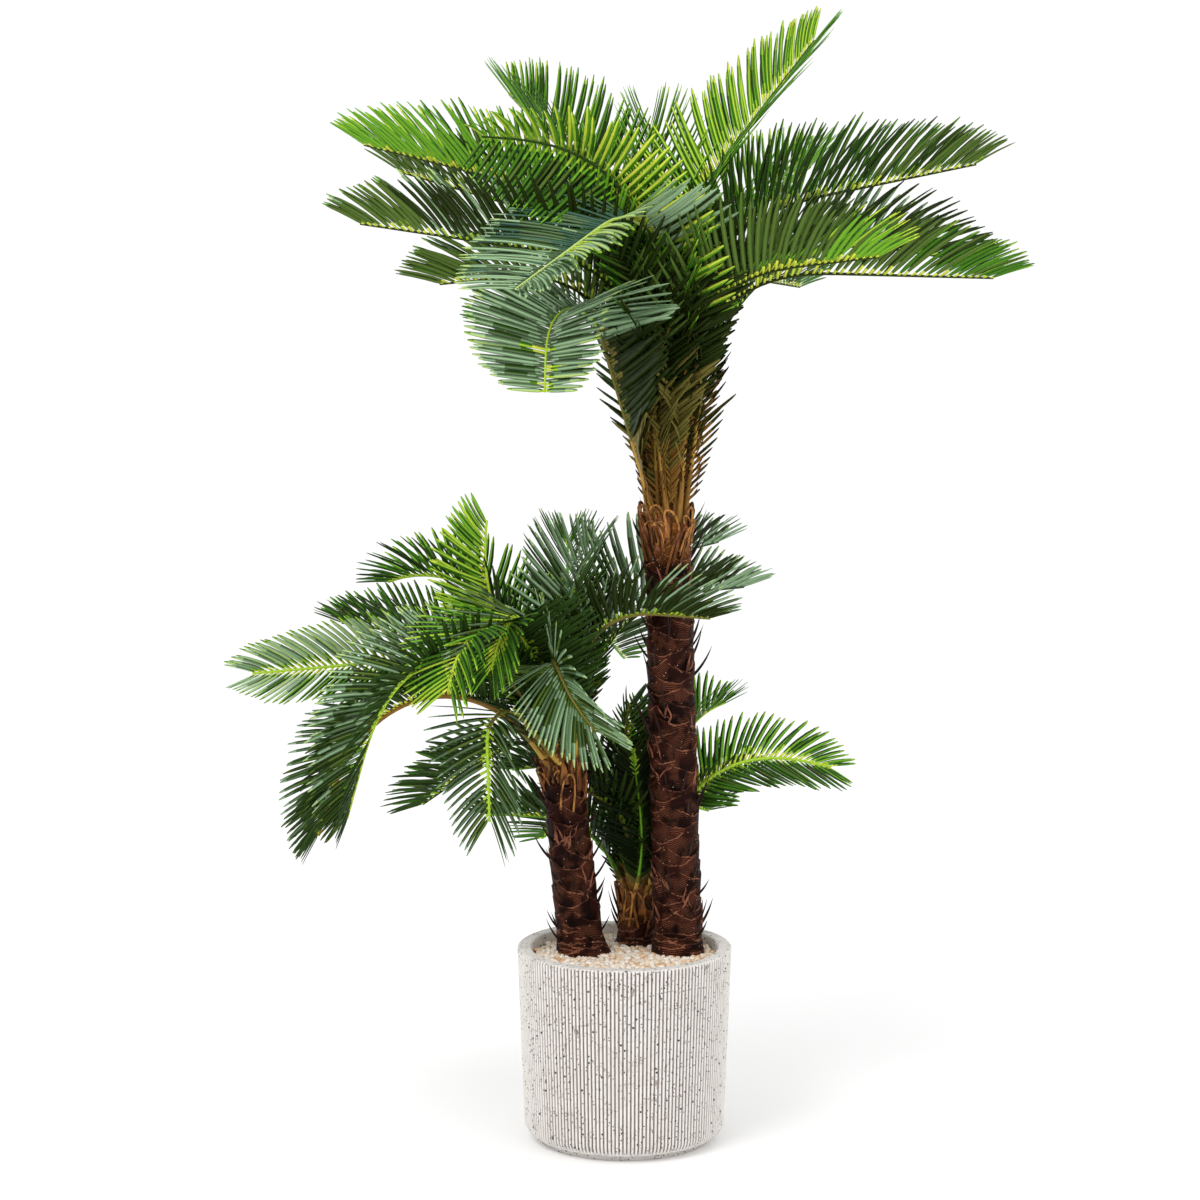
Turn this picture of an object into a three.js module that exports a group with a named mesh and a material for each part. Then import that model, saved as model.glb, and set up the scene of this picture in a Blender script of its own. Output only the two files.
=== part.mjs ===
// A sago palm in its pot: one clump of three stems, each with a crown of feather fronds.
// Millimetres, +Z up. The origin is the centre of the pot's flat underside, and the plant
// faces -Y, with +X on its right. Azimuths run from +X (0) over +Y, the back (90), in degrees.

import * as THREE from "three";

// Driving dimensions.
const GAP = 0.3; // between pieces that meet
const NEARLY = 0.9; // share of the gap that the clearance test asks for

const POT_HEIGHT = 460;
const RIM_RADIUS = 250;
const WALL = 33;
const BASE_RADIUS = 234; // of the body, just above its rounded lower edge
const FOOT_RADIUS = 200; // of the set-back foot that the pot stands on
const FOOT_HEIGHT = 12;
const EDGE_ROUND = 32; // radius of the pot's lower edge
const RIM_ROUND = 6; // and of both edges of its rim
const ROUND_STEPS = 3;
const POT_FLOOR = 45;
const POT_SIDES = 40;
const GRAVEL_TOP = 430;

const TRUNK_SIDES = 16;
const SCALE_PITCH = 42; // height of one course of old leaf bases
const SCALE_RELIEF = 3.5; // how far a leaf base stands out
const FLARE = 5; // extra radius at the foot of a trunk
const FLARE_HEIGHT = 60;

const PETIOLE = { width: 10, thickness: 8 }; // of a rib at its foot
const RIB_TIP = { width: 3, thickness: 3 };
const PETIOLE_STEPS = 3; // plain stretches of rib below the first leaflets
const LEAF_START = 0.12; // where they begin, as a share of the rib
const FIRST_LEAF = 0.2; // lengths at the foot of the rib and at its tip, as shares of the longest
const LAST_LEAF = 0.42;
const FULL_LEAF_FROM = 0.42; // share of the rib from which leaflets are full grown
const LEAF_TAPER = 8; // how late they get shorter again
const SWEEP = [70, 30]; // between rib and leaflet, of a full-grown one and of the last, in degrees
const SWEEP_LATE = 3.5; // how late they close up to the rib
const STALK_SWEEP = 48; // of the first leaflets, on the stalk
const STALK_KEEL = 95;
const STALK_END = 0.4; // share of the rib where leaflets no longer take after those
const OUTER = [0.5, 0.7]; // shares between which a frond's own sweep sets in
const ROLL_END = 0.5; // and where a roll is complete
const COURSE_STEPS = 120; // of the sum that gives a rib's course
const LENGTHS_TRIED = [1, 0.8, 0.6, 0.4]; // shares of its length that a leaflet tries before it is left out

// The three stems. Each crown sits in rings on its trunk's flat top, the oldest fronds in the
// outermost. A frond's row holds its azimuth, its rise at the foot and at the tip, the place of
// its bend and how far the bend spreads (both shares of the rib), and its length with the last
// leaflets. Some have a turn, the change of azimuth towards the tip, a roll that lowers the left
// side, a keel of their own, longer last leaflets, or a sweep of their own past the middle. One
// that hangs over a wide gap is split in two at the bend.
const STEMS = [
  {
    name: "tall",
    foot: [127, 29],
    head: [97, 29],
    top: 1458,
    radii: [56, 53],
    leaf: 250,
    keel: 34, // between a leaflet and the rib's upright, in degrees
    pairs: 22,
    rings: [
      {
        seat: 40,
        fronds: [
          [182, 80, -6, 0.62, 0.5, 980],
          [-8, 86, -1, 0.46, 0.5, 1230],
          [187, 73, -84, 0.72, 0.4, 790, { turn: 72, keel: 70, last: 0.34, sweep: [106, 94] }],
          [25, 82, -10, 0.53, 0.75, 1220],
          [62, 76, -8, 0.54, 0.5, 1080],
          [192, 83, 9, 0.48, 0.45, 1260],
          [95, 76, -10, 0.52, 0.5, 1060],
          [152, 83, 13, 0.52, 0.32, 1300],
          [130, 78, -15, 0.52, 0.5, 1000],
        ],
      },
      {
        seat: 25,
        fronds: [
          [-32, 87, 8, 0.53, 0.58, 1060],
          [230, 86, -23, 0.61, 0.27, 1230, { roll: 4, keel: 68, last: 0.5, sweep: [75, 56], split: true }],
          [8, 88, 11, 0.5, 0.48, 1365, { keel: 30 }],
          [80, 82, 0, 0.48, 0.5, 1180],
          [168, 83, 13, 0.54, 0.62, 1340],
          [115, 83, 15, 0.5, 0.5, 1200],
          [207, 88, 4, 0.71, 0.55, 1170, { turn: -22, roll: 106, keel: 42, last: 0.34, sweep: [86, 60] }],
        ],
      },
      {
        seat: 11,
        fronds: [
          [36, 89, 45, 0.55, 0.45, 1325, { keel: 62, sweep: [58, 28] }],
          [54, 85, 22, 0.5, 0.5, 1190],
          [126, 86, 30, 0.49, 0.7, 1320],
          [95, 87, 38, 0.6, 0.7, 1110],
          [285, 88, 70, 0.6, 0.6, 700],
        ],
      },
    ],
  },
  {
    name: "short",
    foot: [-100, 24],
    head: [-147, 24],
    top: 884,
    radii: [54, 46],
    leaf: 180,
    keel: 42,
    pairs: 16,
    rings: [
      {
        seat: 37,
        fronds: [
          [222, 46, -92, 0.5, 0.35, 600, { keel: 80, last: 0.6, sweep: [74, 40] }],
          [172, 56, -36, 0.2, 0.4, 430],
          [197, 58, -72, 0.46, 1.0, 860, { split: true }],
          [187, 70, -4, 0.32, 0.6, 870, { roll: 70 }],
          [110, 74, -15, 0.45, 0.5, 700],
          [75, 74, -25, 0.45, 0.5, 760],
          [-28, 88, 0, 0.53, 0.62, 700],
          [22, 84, 2, 0.5, 0.85, 735],
        ],
      },
      {
        seat: 23,
        fronds: [
          [213, 66, -72, 0.48, 0.8, 960, { split: true }],
          [163, 70, 6, 0.39, 0.85, 720],
          [238, 74, -64, 0.72, 0.5, 660, { keel: 70 }],
          [38, 86, 6, 0.52, 0.95, 810],
          [240, 70, -48, 0.57, 0.42, 640, { turn: 110, roll: -60, keel: 50, last: 0.5, sweep: [55, 30] }],
          [128, 78, 0, 0.5, 0.5, 660],
          [90, 82, 30, 0.5, 0.5, 700],
        ],
      },
      {
        seat: 10,
        fronds: [
          [226, 70, -80, 0.7, 0.72, 720, { keel: 75, last: 0.5, sweep: [72, 50] }],
          [157, 70, -36, 0.74, 0.95, 755],
          [180, 68, 97, 0.78, 0.55, 660, { keel: 145, sweep: [66, 42] }],
          [66, 88, 28, 0.7, 0.45, 640],
        ],
      },
    ],
  },
  {
    name: "small",
    foot: [28, 120],
    head: [28, 120],
    top: 563,
    radii: [43, 38],
    leaf: 155,
    keel: 46,
    pairs: 13,
    rings: [
      {
        seat: 28,
        fronds: [
          [173, 65, 0, 0.44, 0.7, 470],
          [3, 68, -14, 0.58, 0.8, 670, { roll: -35, keel: 80 }],
          [130, 68, -30, 0.45, 0.5, 480],
          [60, 70, -18, 0.45, 0.5, 500],
          [-60, 70, 104, 0.35, 0.7, 400, { keel: 88, sweep: [60, 40] }],
          [22, 76, 6, 0.55, 1.1, 455],
          [95, 72, -10, 0.5, 0.5, 500],
        ],
      },
      {
        seat: 12,
        fronds: [
          [158, 74, -10, 0.6, 0.5, 550],
          [186, 82, 25, 0.5, 0.5, 450],
          [38, 72, 4, 0.8, 0.6, 580],
          [124, 76, 98, 0.5, 0.5, 505],
          [80, 84, 50, 0.5, 0.5, 480],
        ],
      },
    ],
  },
];

const COLOURS = {
  pot: 0xb4b0aa,
  gravel: 0xcfc3b2,
  trunk: 0x4a2c22,
  tall: 0x5f7f3c,
  short: 0x6f8f4a,
  small: 0x7d9a52,
};

const radians = THREE.MathUtils.degToRad;
const mix = THREE.MathUtils.lerp;
const UP = new THREE.Vector3(0, 0, 1);

// A ramp from 0 to 1 with soft ends.
function ease(x) {
  const c = THREE.MathUtils.clamp(x, 0, 1);
  return c * c * (3 - 2 * c);
}

// Closed surfaces ----------------------------------------------------------------------

// Gathers corners and faces, then gives the geometry.
class Surface {
  constructor() {
    this.places = [];
    this.index = [];
  }

  corner(point) {
    this.places.push(point.x, point.y, point.z);
    return this.places.length / 3 - 1;
  }

  triangle(a, b, c) {
    this.index.push(a, b, c);
  }

  quad(a, b, c, d) {
    this.triangle(a, b, c);
    this.triangle(a, c, d);
  }

  geometry() {
    const made = new THREE.BufferGeometry();
    made.setAttribute("position", new THREE.Float32BufferAttribute(this.places, 3));
    made.setIndex(this.index);
    made.computeVertexNormals();
    return made;
  }
}

// A convex piece of a solid, for the test of what lies near it.
function convexPiece(points, axes, edges) {
  return { points, axes, edges, box: new THREE.Box3().setFromPoints(points) };
}

// How far two convex pieces are apart along one axis, negative where their shadows overlap.
function apartAlong(axis, first, second) {
  const reach = (piece) => piece.points.map((point) => point.dot(axis));
  const a = reach(first);
  const b = reach(second);
  return Math.max(Math.min(...b) - Math.max(...a), Math.min(...a) - Math.max(...b));
}

// Whether two convex pieces keep the gap: some axis of their faces or edges parts them.
function clear(first, second) {
  if (!first.box.clone().expandByScalar(GAP).intersectsBox(second.box)) return true;
  for (const axis of [...first.axes, ...second.axes]) {
    if (apartAlong(axis, first, second) > GAP * NEARLY) return true;
  }
  for (const a of first.edges) {
    for (const b of second.edges) {
      const axis = new THREE.Vector3().crossVectors(a, b);
      if (axis.lengthSq() < 1e-6) continue;
      if (apartAlong(axis.normalize(), first, second) > GAP * NEARLY) return true;
    }
  }
  return false;
}

function between(a, b) {
  return new THREE.Vector3().subVectors(b, a).normalize();
}

function faceAxis(a, b, c) {
  return between(a, b).cross(between(a, c)).normalize();
}

// The block between two rings of corners, along a rib or up a trunk.
function block(near, far) {
  const edges = [
    between(near[0], near[1]),
    between(near[1], near[2]),
    between(far[0], far[1]),
    between(far[1], far[2]),
    ...near.map((point, k) => between(point, far[k])),
  ];
  const sides = near.map((point, k) => faceAxis(point, near[(k + 1) % near.length], far[k]));
  const ends = [faceAxis(near[0], near[1], near[2]), faceAxis(far[0], far[1], far[2])];
  return convexPiece([...near, ...far], [...sides, ...ends], edges);
}

// The pyramid of a leaflet, from the four corners of its root and its tip.
function pyramid(root, tip) {
  const sides = root.map((point, k) => faceAxis(point, root[(k + 1) % 4], tip));
  const slants = root.map((point) => between(point, tip));
  const edges = [between(root[0], root[1]), between(root[1], root[2]), ...slants];
  return convexPiece([...root, tip], [...sides, faceAxis(...root.slice(0, 3))], edges);
}

// Pot and gravel -----------------------------------------------------------------------

function lathe(profile) {
  const points = profile.map(([radius, height]) => new THREE.Vector2(radius, height));
  const made = new THREE.LatheGeometry(points, POT_SIDES);
  return made.rotateX(Math.PI / 2);
}

// A quarter round of a profile about a centre, from an angle in degrees.
function rounded(x, y, radius, from) {
  return Array.from({ length: ROUND_STEPS + 1 }, (_, i) => {
    const angle = radians(from + (90 * i) / ROUND_STEPS);
    return [x + radius * Math.cos(angle), y + radius * Math.sin(angle)];
  });
}

// The inner wall leans in a little towards the floor.
const INNER_TOP = RIM_RADIUS - WALL;
const INNER_FLOOR = BASE_RADIUS - WALL;

function innerRadius(height) {
  return mix(INNER_FLOOR, INNER_TOP, (height - POT_FLOOR) / (POT_HEIGHT - POT_FLOOR));
}

function potGeometry() {
  return lathe([
    [0, 0],
    [FOOT_RADIUS, 0],
    [FOOT_RADIUS, FOOT_HEIGHT],
    ...rounded(BASE_RADIUS - EDGE_ROUND, FOOT_HEIGHT + EDGE_ROUND, EDGE_ROUND, -90),
    ...rounded(RIM_RADIUS - RIM_ROUND, POT_HEIGHT - RIM_ROUND, RIM_ROUND, 0),
    ...rounded(INNER_TOP + RIM_ROUND, POT_HEIGHT - RIM_ROUND, RIM_ROUND, 90),
    [INNER_FLOOR, POT_FLOOR],
    [0, POT_FLOOR],
  ]);
}

function gravelGeometry() {
  return lathe([
    [0, POT_FLOOR + GAP],
    [innerRadius(POT_FLOOR) - 2 * GAP, POT_FLOOR + GAP],
    [innerRadius(GRAVEL_TOP) - 2 * GAP, GRAVEL_TOP],
    [0, GRAVEL_TOP],
  ]);
}

// Trunks -------------------------------------------------------------------------------

// A leaning trunk with its taper and root flare. Courses of old leaf bases stand out in
// turn, every second one shifted by half a base.
function trunkRings(stem) {
  const bottom = GRAVEL_TOP + GAP;
  const courses = Math.max(3, Math.round((stem.top - bottom) / SCALE_PITCH));
  return Array.from({ length: courses + 1 }, (_, i) => {
    const share = i / courses;
    const height = mix(bottom, stem.top, share);
    const flare = FLARE * (1 - ease((height - bottom) / FLARE_HEIGHT));
    const plain = mix(...stem.radii, share) + flare;
    return Array.from({ length: TRUNK_SIDES }, (_, k) => {
      const angle = (k / TRUNK_SIDES) * 2 * Math.PI;
      const relief = (i + k) % 2 ? 0 : SCALE_RELIEF;
      const radius = plain - relief;
      const x = mix(stem.foot[0], stem.head[0], share) + radius * Math.cos(angle);
      const y = mix(stem.foot[1], stem.head[1], share) + radius * Math.sin(angle);
      return new THREE.Vector3(x, y, height);
    });
  });
}

function trunkGeometry(rings) {
  const skin = new Surface();
  const corners = rings.map((ring) => ring.map((point) => skin.corner(point)));
  const sides = corners[0].length;
  for (let i = 0; i + 1 < corners.length; i += 1) {
    for (let k = 0; k < sides; k += 1) {
      const next = (k + 1) % sides;
      skin.quad(corners[i][k], corners[i][next], corners[i + 1][next], corners[i + 1][k]);
    }
  }
  const last = corners.length - 1;
  for (let k = 1; k + 1 < sides; k += 1) {
    skin.triangle(corners[0][0], corners[0][k + 1], corners[0][k]);
    skin.triangle(corners[last][0], corners[last][k], corners[last][k + 1]);
  }
  return skin.geometry();
}

// Fronds -------------------------------------------------------------------------------

// The frame of a rib at a share of its length: its direction, its left side and its upright.
function ribFrame(row, share) {
  const [azimuth, rise, fall, bend, spread, , { turn = 0, roll = 0 } = {}] = row;
  const elevation = radians(mix(rise, fall, ease((share - bend) / spread + 0.5)));
  const heading = radians(azimuth + turn * share * share);
  const along = new THREE.Vector3(
    Math.cos(elevation) * Math.cos(heading),
    Math.cos(elevation) * Math.sin(heading),
    Math.sin(elevation),
  );
  const side = new THREE.Vector3(-Math.sin(heading), Math.cos(heading), 0);
  side.applyAxisAngle(along, -radians(roll) * ease(share / ROLL_END));
  return { along, side, upright: new THREE.Vector3().crossVectors(along, side) };
}

// What a frond's leaflets have of their own, or share with the rest of its stem.
function leafHabit(stem, row) {
  return { keel: stem.keel, last: LAST_LEAF, sweep: SWEEP, ...row[6] };
}

// Points along a rib, summed from its foot in short steps. Its length is the frond's, less what
// the last leaflets reach past its end.
function ribCourse(stem, row, foot) {
  const { last, sweep } = leafHabit(stem, row);
  const length = row[5] - stem.leaf * last * Math.cos(radians(sweep[1]));
  const step = length / COURSE_STEPS;
  const points = [foot.clone()];
  for (let i = 0; i < COURSE_STEPS; i += 1) {
    const { along } = ribFrame(row, (i + 0.5) / COURSE_STEPS);
    points.push(points[i].clone().addScaledVector(along, step));
  }
  return points;
}

// The fronds of a stem, each with its row and its seat. Within a ring the seats are evenly
// spaced, in the order of the azimuths, so that neighbouring petioles don't cross.
function seatedFronds(stem) {
  const [x, y] = stem.head;
  return stem.rings.flatMap(({ seat, fronds }) => {
    const rows = [...fronds].sort(([a], [b]) => a - b);
    const even = 360 / rows.length;
    const start = rows.reduce((sum, [azimuth], k) => sum + azimuth - k * even, 0) / rows.length;
    return rows.map((row, k) => {
      const place = radians(start + k * even);
      const foot = new THREE.Vector3(
        x + seat * Math.cos(place),
        y + seat * Math.sin(place),
        stem.top + GAP,
      );
      return { stem, row, foot };
    });
  });
}

// Stations along a rib, each with its frame and four corners. The lowest is level.
function ribStations({ stem, row, foot }) {
  const course = ribCourse(stem, row, foot);
  const total = PETIOLE_STEPS + stem.pairs;
  return Array.from({ length: total + 1 }, (_, i) => {
    const pair = (i - PETIOLE_STEPS) / stem.pairs;
    const share = pair < 0 ? (LEAF_START * i) / PETIOLE_STEPS : mix(LEAF_START, 1, pair);
    const centre = course[Math.round(share * COURSE_STEPS)];
    const frame = ribFrame(row, share);
    const upright = i === 0 ? new THREE.Vector3().crossVectors(UP, frame.side) : frame.upright;
    const width = mix(PETIOLE.width, RIB_TIP.width, share) / 2;
    const thickness = mix(PETIOLE.thickness, RIB_TIP.thickness, share) / 2;
    const corner = (x, z) =>
      centre.clone().addScaledVector(frame.side, x * width).addScaledVector(upright, z * thickness);
    const corners = [corner(1, 1), corner(-1, 1), corner(-1, -1), corner(1, -1)];
    return { ...frame, centre, corners, pair, share };
  });
}

// A leaflet's length at a share of the rib: short at first, longest from its middle on and
// shorter again close to the tip.
function leafLength(stem, row, share) {
  const rising = mix(FIRST_LEAF, 1, ease(share / FULL_LEAF_FROM));
  return stem.leaf * rising * mix(1, leafHabit(stem, row).last, share ** LEAF_TAPER);
}

// The way a leaflet points: swept forwards, and raised from the side by the keel of the frond.
// Those on the stalk are swept further and spread flat.
function leafDirection(stem, row, { along, side, upright, share }, left) {
  const habit = leafHabit(stem, row);
  const grown = ease(share / STALK_END);
  const outer = ease((share - OUTER[0]) / (OUTER[1] - OUTER[0]));
  const full = mix(SWEEP[0], habit.sweep[0], outer);
  const sweep = radians(mix(STALK_SWEEP, mix(full, habit.sweep[1], share ** SWEEP_LATE), grown));
  const tilt = radians(mix(STALK_KEEL, habit.keel, grown));
  const outwards = side.clone().multiplyScalar((left ? 1 : -1) * Math.sin(tilt));
  outwards.addScaledVector(upright, Math.cos(tilt));
  return outwards.multiplyScalar(Math.sin(sweep)).addScaledVector(along, Math.cos(sweep));
}

// The root of the leaflet on one side: the rib's side face between two stations.
function leafRoot(near, far, left) {
  const [from, to] = left ? [3, 0] : [1, 2];
  return [near[from], near[to], far[to], far[from]];
}

// The tip of the longest leaflet that keeps clear of every piece given, or null.
function leafTip({ stem, row }, near, far, left, others) {
  const middle = near.centre.clone().add(far.centre).multiplyScalar(0.5);
  const direction = leafDirection(stem, row, near, left);
  const root = leafRoot(near.corners, far.corners, left);
  for (const share of LENGTHS_TRIED) {
    const tip = middle.clone().addScaledVector(direction, share * leafLength(stem, row, near.share));
    const piece = pyramid(root, tip);
    if (others.every((other) => clear(piece, other))) return { tip, piece };
  }
  return null;
}

// A frond whole, or its two parts where it is split at the bend, each a list of stations. The
// parts end half a gap short of the cut.
function frondParts({ stem, row, stations }) {
  const [, , , bend, , , { split = false } = {}] = row;
  if (!split) return [stations];
  const cut = PETIOLE_STEPS + Math.round((stem.pairs * (bend - LEAF_START)) / (1 - LEAF_START));
  const moved = (station, distance) => ({
    ...station,
    centre: station.centre.clone().addScaledVector(station.along, distance),
    corners: station.corners.map((point) => point.clone().addScaledVector(station.along, distance)),
  });
  return [
    [...stations.slice(0, cut), moved(stations[cut], -GAP / 2)],
    [moved(stations[cut], GAP / 2), ...stations.slice(cut + 1)],
  ];
}

// One frond: its rib, and a leaflet on each side of every stretch past the petiole.
function frondGeometry(frond, stations, others) {
  const skin = new Surface();
  const own = [];
  const ids = stations.map((station) => station.corners.map((point) => skin.corner(point)));
  for (let i = 0; i + 1 < stations.length; i += 1) {
    const [near, far] = [stations[i], stations[i + 1]];
    const [a, b] = [ids[i], ids[i + 1]];
    skin.quad(a[0], a[1], b[1], b[0]);
    skin.quad(a[2], a[3], b[3], b[2]);
    for (const left of [true, false]) {
      const loop = leafRoot(a, b, left);
      const found = near.pair < 0 ? null : leafTip(frond, near, far, left, others);
      if (found === null) {
        skin.quad(...loop);
        continue;
      }
      own.push(found.piece);
      const tip = skin.corner(found.tip);
      loop.forEach((id, k) => skin.triangle(id, loop[(k + 1) % 4], tip));
    }
  }
  const [first, last] = [ids[0], ids[ids.length - 1]];
  skin.quad(first[3], first[2], first[1], first[0]);
  skin.quad(...last);
  return { geometry: skin.geometry(), pieces: own };
}

// The object ---------------------------------------------------------------------------

function addMesh(group, name, geometry, colour, roughness) {
  const material = new THREE.MeshStandardMaterial({ color: colour, roughness, metalness: 0 });
  const mesh = new THREE.Mesh(geometry, material);
  mesh.name = name;
  group.add(mesh);
}

const palm = new THREE.Group();
addMesh(palm, "pot", potGeometry(), COLOURS.pot, 0.7);
addMesh(palm, "gravel_fill", gravelGeometry(), COLOURS.gravel, 0.9);

const trunkPieces = [];
for (const stem of STEMS) {
  const rings = trunkRings(stem);
  addMesh(palm, `${stem.name}_trunk`, trunkGeometry(rings), COLOURS.trunk, 0.9);
  for (let i = 0; i + 1 < rings.length; i += 1) trunkPieces.push(block(rings[i], rings[i + 1]));
}

// Every rib is laid before the first leaflet, so that no leaflet grows through a rib.
const fronds = STEMS.flatMap((stem) =>
  seatedFronds(stem).map((frond, number) => {
    const stations = ribStations(frond);
    const blocks = stations.slice(1).map((far, i) => block(stations[i].corners, far.corners));
    return { ...frond, number, stations, blocks };
  }),
);
const leafPieces = [];
for (const frond of fronds) {
  const { stem, number } = frond;
  const ribs = fronds.filter((other) => other !== frond).flatMap((other) => other.blocks);
  const others = [...trunkPieces, ...ribs, ...leafPieces];
  frondParts(frond).forEach((stations, part) => {
    const { geometry, pieces } = frondGeometry(frond, stations, others);
    leafPieces.push(...pieces);
    const name = `${stem.name}_frond_${String(number + 1).padStart(2, "0")}${part ? "_end" : ""}`;
    addMesh(palm, name, geometry, COLOURS[stem.name], 0.55);
  });
}

export default palm;
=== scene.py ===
# A sago palm in its pot. Metres, +Z up, in the frame of the solid model: the origin lies under
# the middle of the pot, the front looks towards -Y, and azimuths run from +X over +Y.

import bpy
import mathutils
import numpy as np
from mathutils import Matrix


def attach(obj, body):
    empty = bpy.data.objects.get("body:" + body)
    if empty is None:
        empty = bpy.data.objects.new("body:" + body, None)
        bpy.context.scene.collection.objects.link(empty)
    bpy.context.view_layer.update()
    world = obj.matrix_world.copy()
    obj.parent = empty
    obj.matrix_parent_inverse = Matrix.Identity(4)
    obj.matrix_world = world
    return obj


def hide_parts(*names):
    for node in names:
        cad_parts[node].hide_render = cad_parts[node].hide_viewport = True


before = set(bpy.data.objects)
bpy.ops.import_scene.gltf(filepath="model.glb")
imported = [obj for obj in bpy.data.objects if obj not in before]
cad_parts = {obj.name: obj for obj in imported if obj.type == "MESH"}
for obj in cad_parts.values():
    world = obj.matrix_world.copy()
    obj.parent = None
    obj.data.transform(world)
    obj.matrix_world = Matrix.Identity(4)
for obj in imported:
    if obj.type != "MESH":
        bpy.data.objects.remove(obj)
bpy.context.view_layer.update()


# Camera -----------------------------------------------------------------------------------
# It stands nine metres off with a long lens, as high as the top of the tall crown, and looks
# down a little, so that the rim of the pot shows as a narrow oval.

CAMERA_PLACE = (-0.057, -9.0, 2.69)
CAMERA_DIP = 8.93  # degrees below the horizon
LENS = 118.7
SENSOR = 36

camera_data = bpy.data.cameras.new("camera")
camera_data.lens = LENS
camera_data.sensor_width = SENSOR
camera = bpy.data.objects.new("camera", camera_data)
camera.location = CAMERA_PLACE
camera.rotation_euler = (np.radians(90 - CAMERA_DIP), 0, 0)
bpy.context.collection.objects.link(camera)
bpy.context.scene.camera = camera


# Pot --------------------------------------------------------------------------------------
# A round planter cast in one piece in pale terrazzo, with a reeded wall, a smooth rounded rim
# and a set-back foot. Dark chips and hair cracks show in its wall, and the grooves carry painted shade.

POT_HEIGHT = 0.46
RIM_RADIUS = 0.25
WALL = 0.033
BASE_RADIUS = 0.234
FOOT_RADIUS = 0.2
FOOT_HEIGHT = 0.012
EDGE_ROUND = 0.032
RIM_ROUND = 0.006
INNER_BEND = (RIM_RADIUS - WALL - 0.004, 0.36)  # radius and height where the inner wall turns in
POT_FLOOR = 0.045
EDGE_STEPS = 12
WALL_STEPS = 14
RIM_STEPS = 7
REEDS = 164
REED_DEPTH = 0.0034
REED_PLACES = np.array([-1, -0.86, -0.7, -0.4, 0, 0.4, 0.7, 0.86])  # of the corners across a reed
GROOVE_FROM = 0.5  # share of a reed's half width where the groove begins
GROOVE_SIDE = 0.36  # and over which it reaches its depth
REED_FOOT = FOOT_HEIGHT + 0.004
REED_RUN_IN = 0.01
REED_RUN_OUT = 0.0035
REED_TOP = POT_HEIGHT - REED_RUN_OUT
POT_STONE = 0xE6E2DD
POT_CLOUD = 0xD8D3CD
GROOVE_SHADE_TONE = 0x746860
GROOVE_SHADE_STREAKS = 0x574C44
POT_CHIP = 0x33281F
POT_CRACK = 0x6C5D50
# Large and small chips: cells a metre, inner and outer radius in a cell, share of plain cells.
POT_CHIPS = ((62.0, 0.14, 0.2, 0.42), (130.0, 0.175, 0.25, 0.46))


def ease(x):
    """A ramp from 0 to 1 with soft ends: 3 x squared less 2 x cubed, for x held within 0 and 1."""
    x = np.clip(x, 0, 1)
    return x * x * (3 - 2 * x)


def mix(a, b, share):
    """The value that lies at a share of the way from a to b."""
    return a + (b - a) * share


def paint(number):
    """A colour for a shader's socket, from its six-digit number: each part is made linear."""
    parts = np.array([number >> 16, number >> 8 & 255, number & 255]) / 255
    linear = np.where(parts > 0.04045, ((parts + 0.055) / 1.055) ** 2.4, parts / 12.92)
    return (*linear, 1)


def closed_skins(name, rings, finishes, dealt=0):
    """A piece of n closed skins, from rings[skin, row, column, xyz]. Each row is a ring that runs
    anticlockwise as seen from the last row, neighbouring rings are joined by four-sided faces,
    and fans of triangles to the mean of the ring close both ends. dealt[skin, row, column] gives
    the number of the finish that the faces above each ring take."""
    count, rows, columns, _ = rings.shape
    corners = np.concatenate([rings.reshape(count, -1, 3), rings[:, [0, -1]].mean(axis=2)], axis=1)
    here = np.arange(columns)
    after = np.roll(here, -1)
    low = columns * np.arange(rows - 1)[:, None]
    high = low + columns
    quads = np.stack([low + here, low + after, high + after, high + here], axis=-1)
    last = columns * (rows - 1)
    low_fan = np.stack([here * 0 + rows * columns, after, here], axis=-1)
    high_fan = np.stack([last + here, last + after, here * 0 + rows * columns + 1], axis=-1)
    shift = corners.shape[1] * np.arange(count)[:, None, None]
    quads = (quads.reshape(-1, 4) + shift).reshape(-1, 4)
    fans = (np.concatenate([low_fan, high_fan]) + shift).reshape(-1, 3)
    dealt = np.broadcast_to(dealt, (count, rows - 1, columns))
    finish = np.concatenate([dealt.ravel(), dealt[:, [0, -1]].ravel()])
    starts = np.concatenate([4 * np.arange(len(quads)), 4 * len(quads) + 3 * np.arange(len(fans))])
    mesh = bpy.data.meshes.new(name)
    mesh.vertices.add(corners.size // 3)
    mesh.vertices.foreach_set("co", corners.ravel())
    mesh.loops.add(quads.size + fans.size)
    mesh.loops.foreach_set("vertex_index", np.concatenate([quads.ravel(), fans.ravel()]))
    mesh.polygons.add(len(starts))
    mesh.polygons.foreach_set("loop_start", starts)
    for finish_used in finishes:
        mesh.materials.append(finish_used)
    mesh.polygons.foreach_set("material_index", finish)
    mesh.polygons.foreach_set("use_smooth", np.ones(len(starts), dtype=bool))
    mesh.update(calc_edges=True)
    piece = bpy.data.objects.new(name, mesh)
    bpy.context.collection.objects.link(piece)
    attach(piece, "root")
    return piece


def mark(piece, name, values):
    """Keeps values[skin, row, column] on the corners of a piece. A fan's middle has its ring's mean."""
    ends = values[:, [0, -1]].mean(axis=2)
    flat = np.concatenate([values.reshape(len(values), -1), ends], axis=1).ravel()
    piece.data.attributes.new(name, "FLOAT", "POINT").data.foreach_set("value", flat)


def new_finish(name, colour, roughness, specular=0.5):
    """A material with a plain colour, roughness and specular level on its shader's own sockets."""
    finish = bpy.data.materials.new(name)
    finish.use_nodes = True
    sockets = finish.node_tree.nodes["Principled BSDF"].inputs
    sockets["Base Color"].default_value = paint(colour)
    sockets["Roughness"].default_value = roughness
    sockets["Specular IOR Level"].default_value = specular
    return finish


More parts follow.
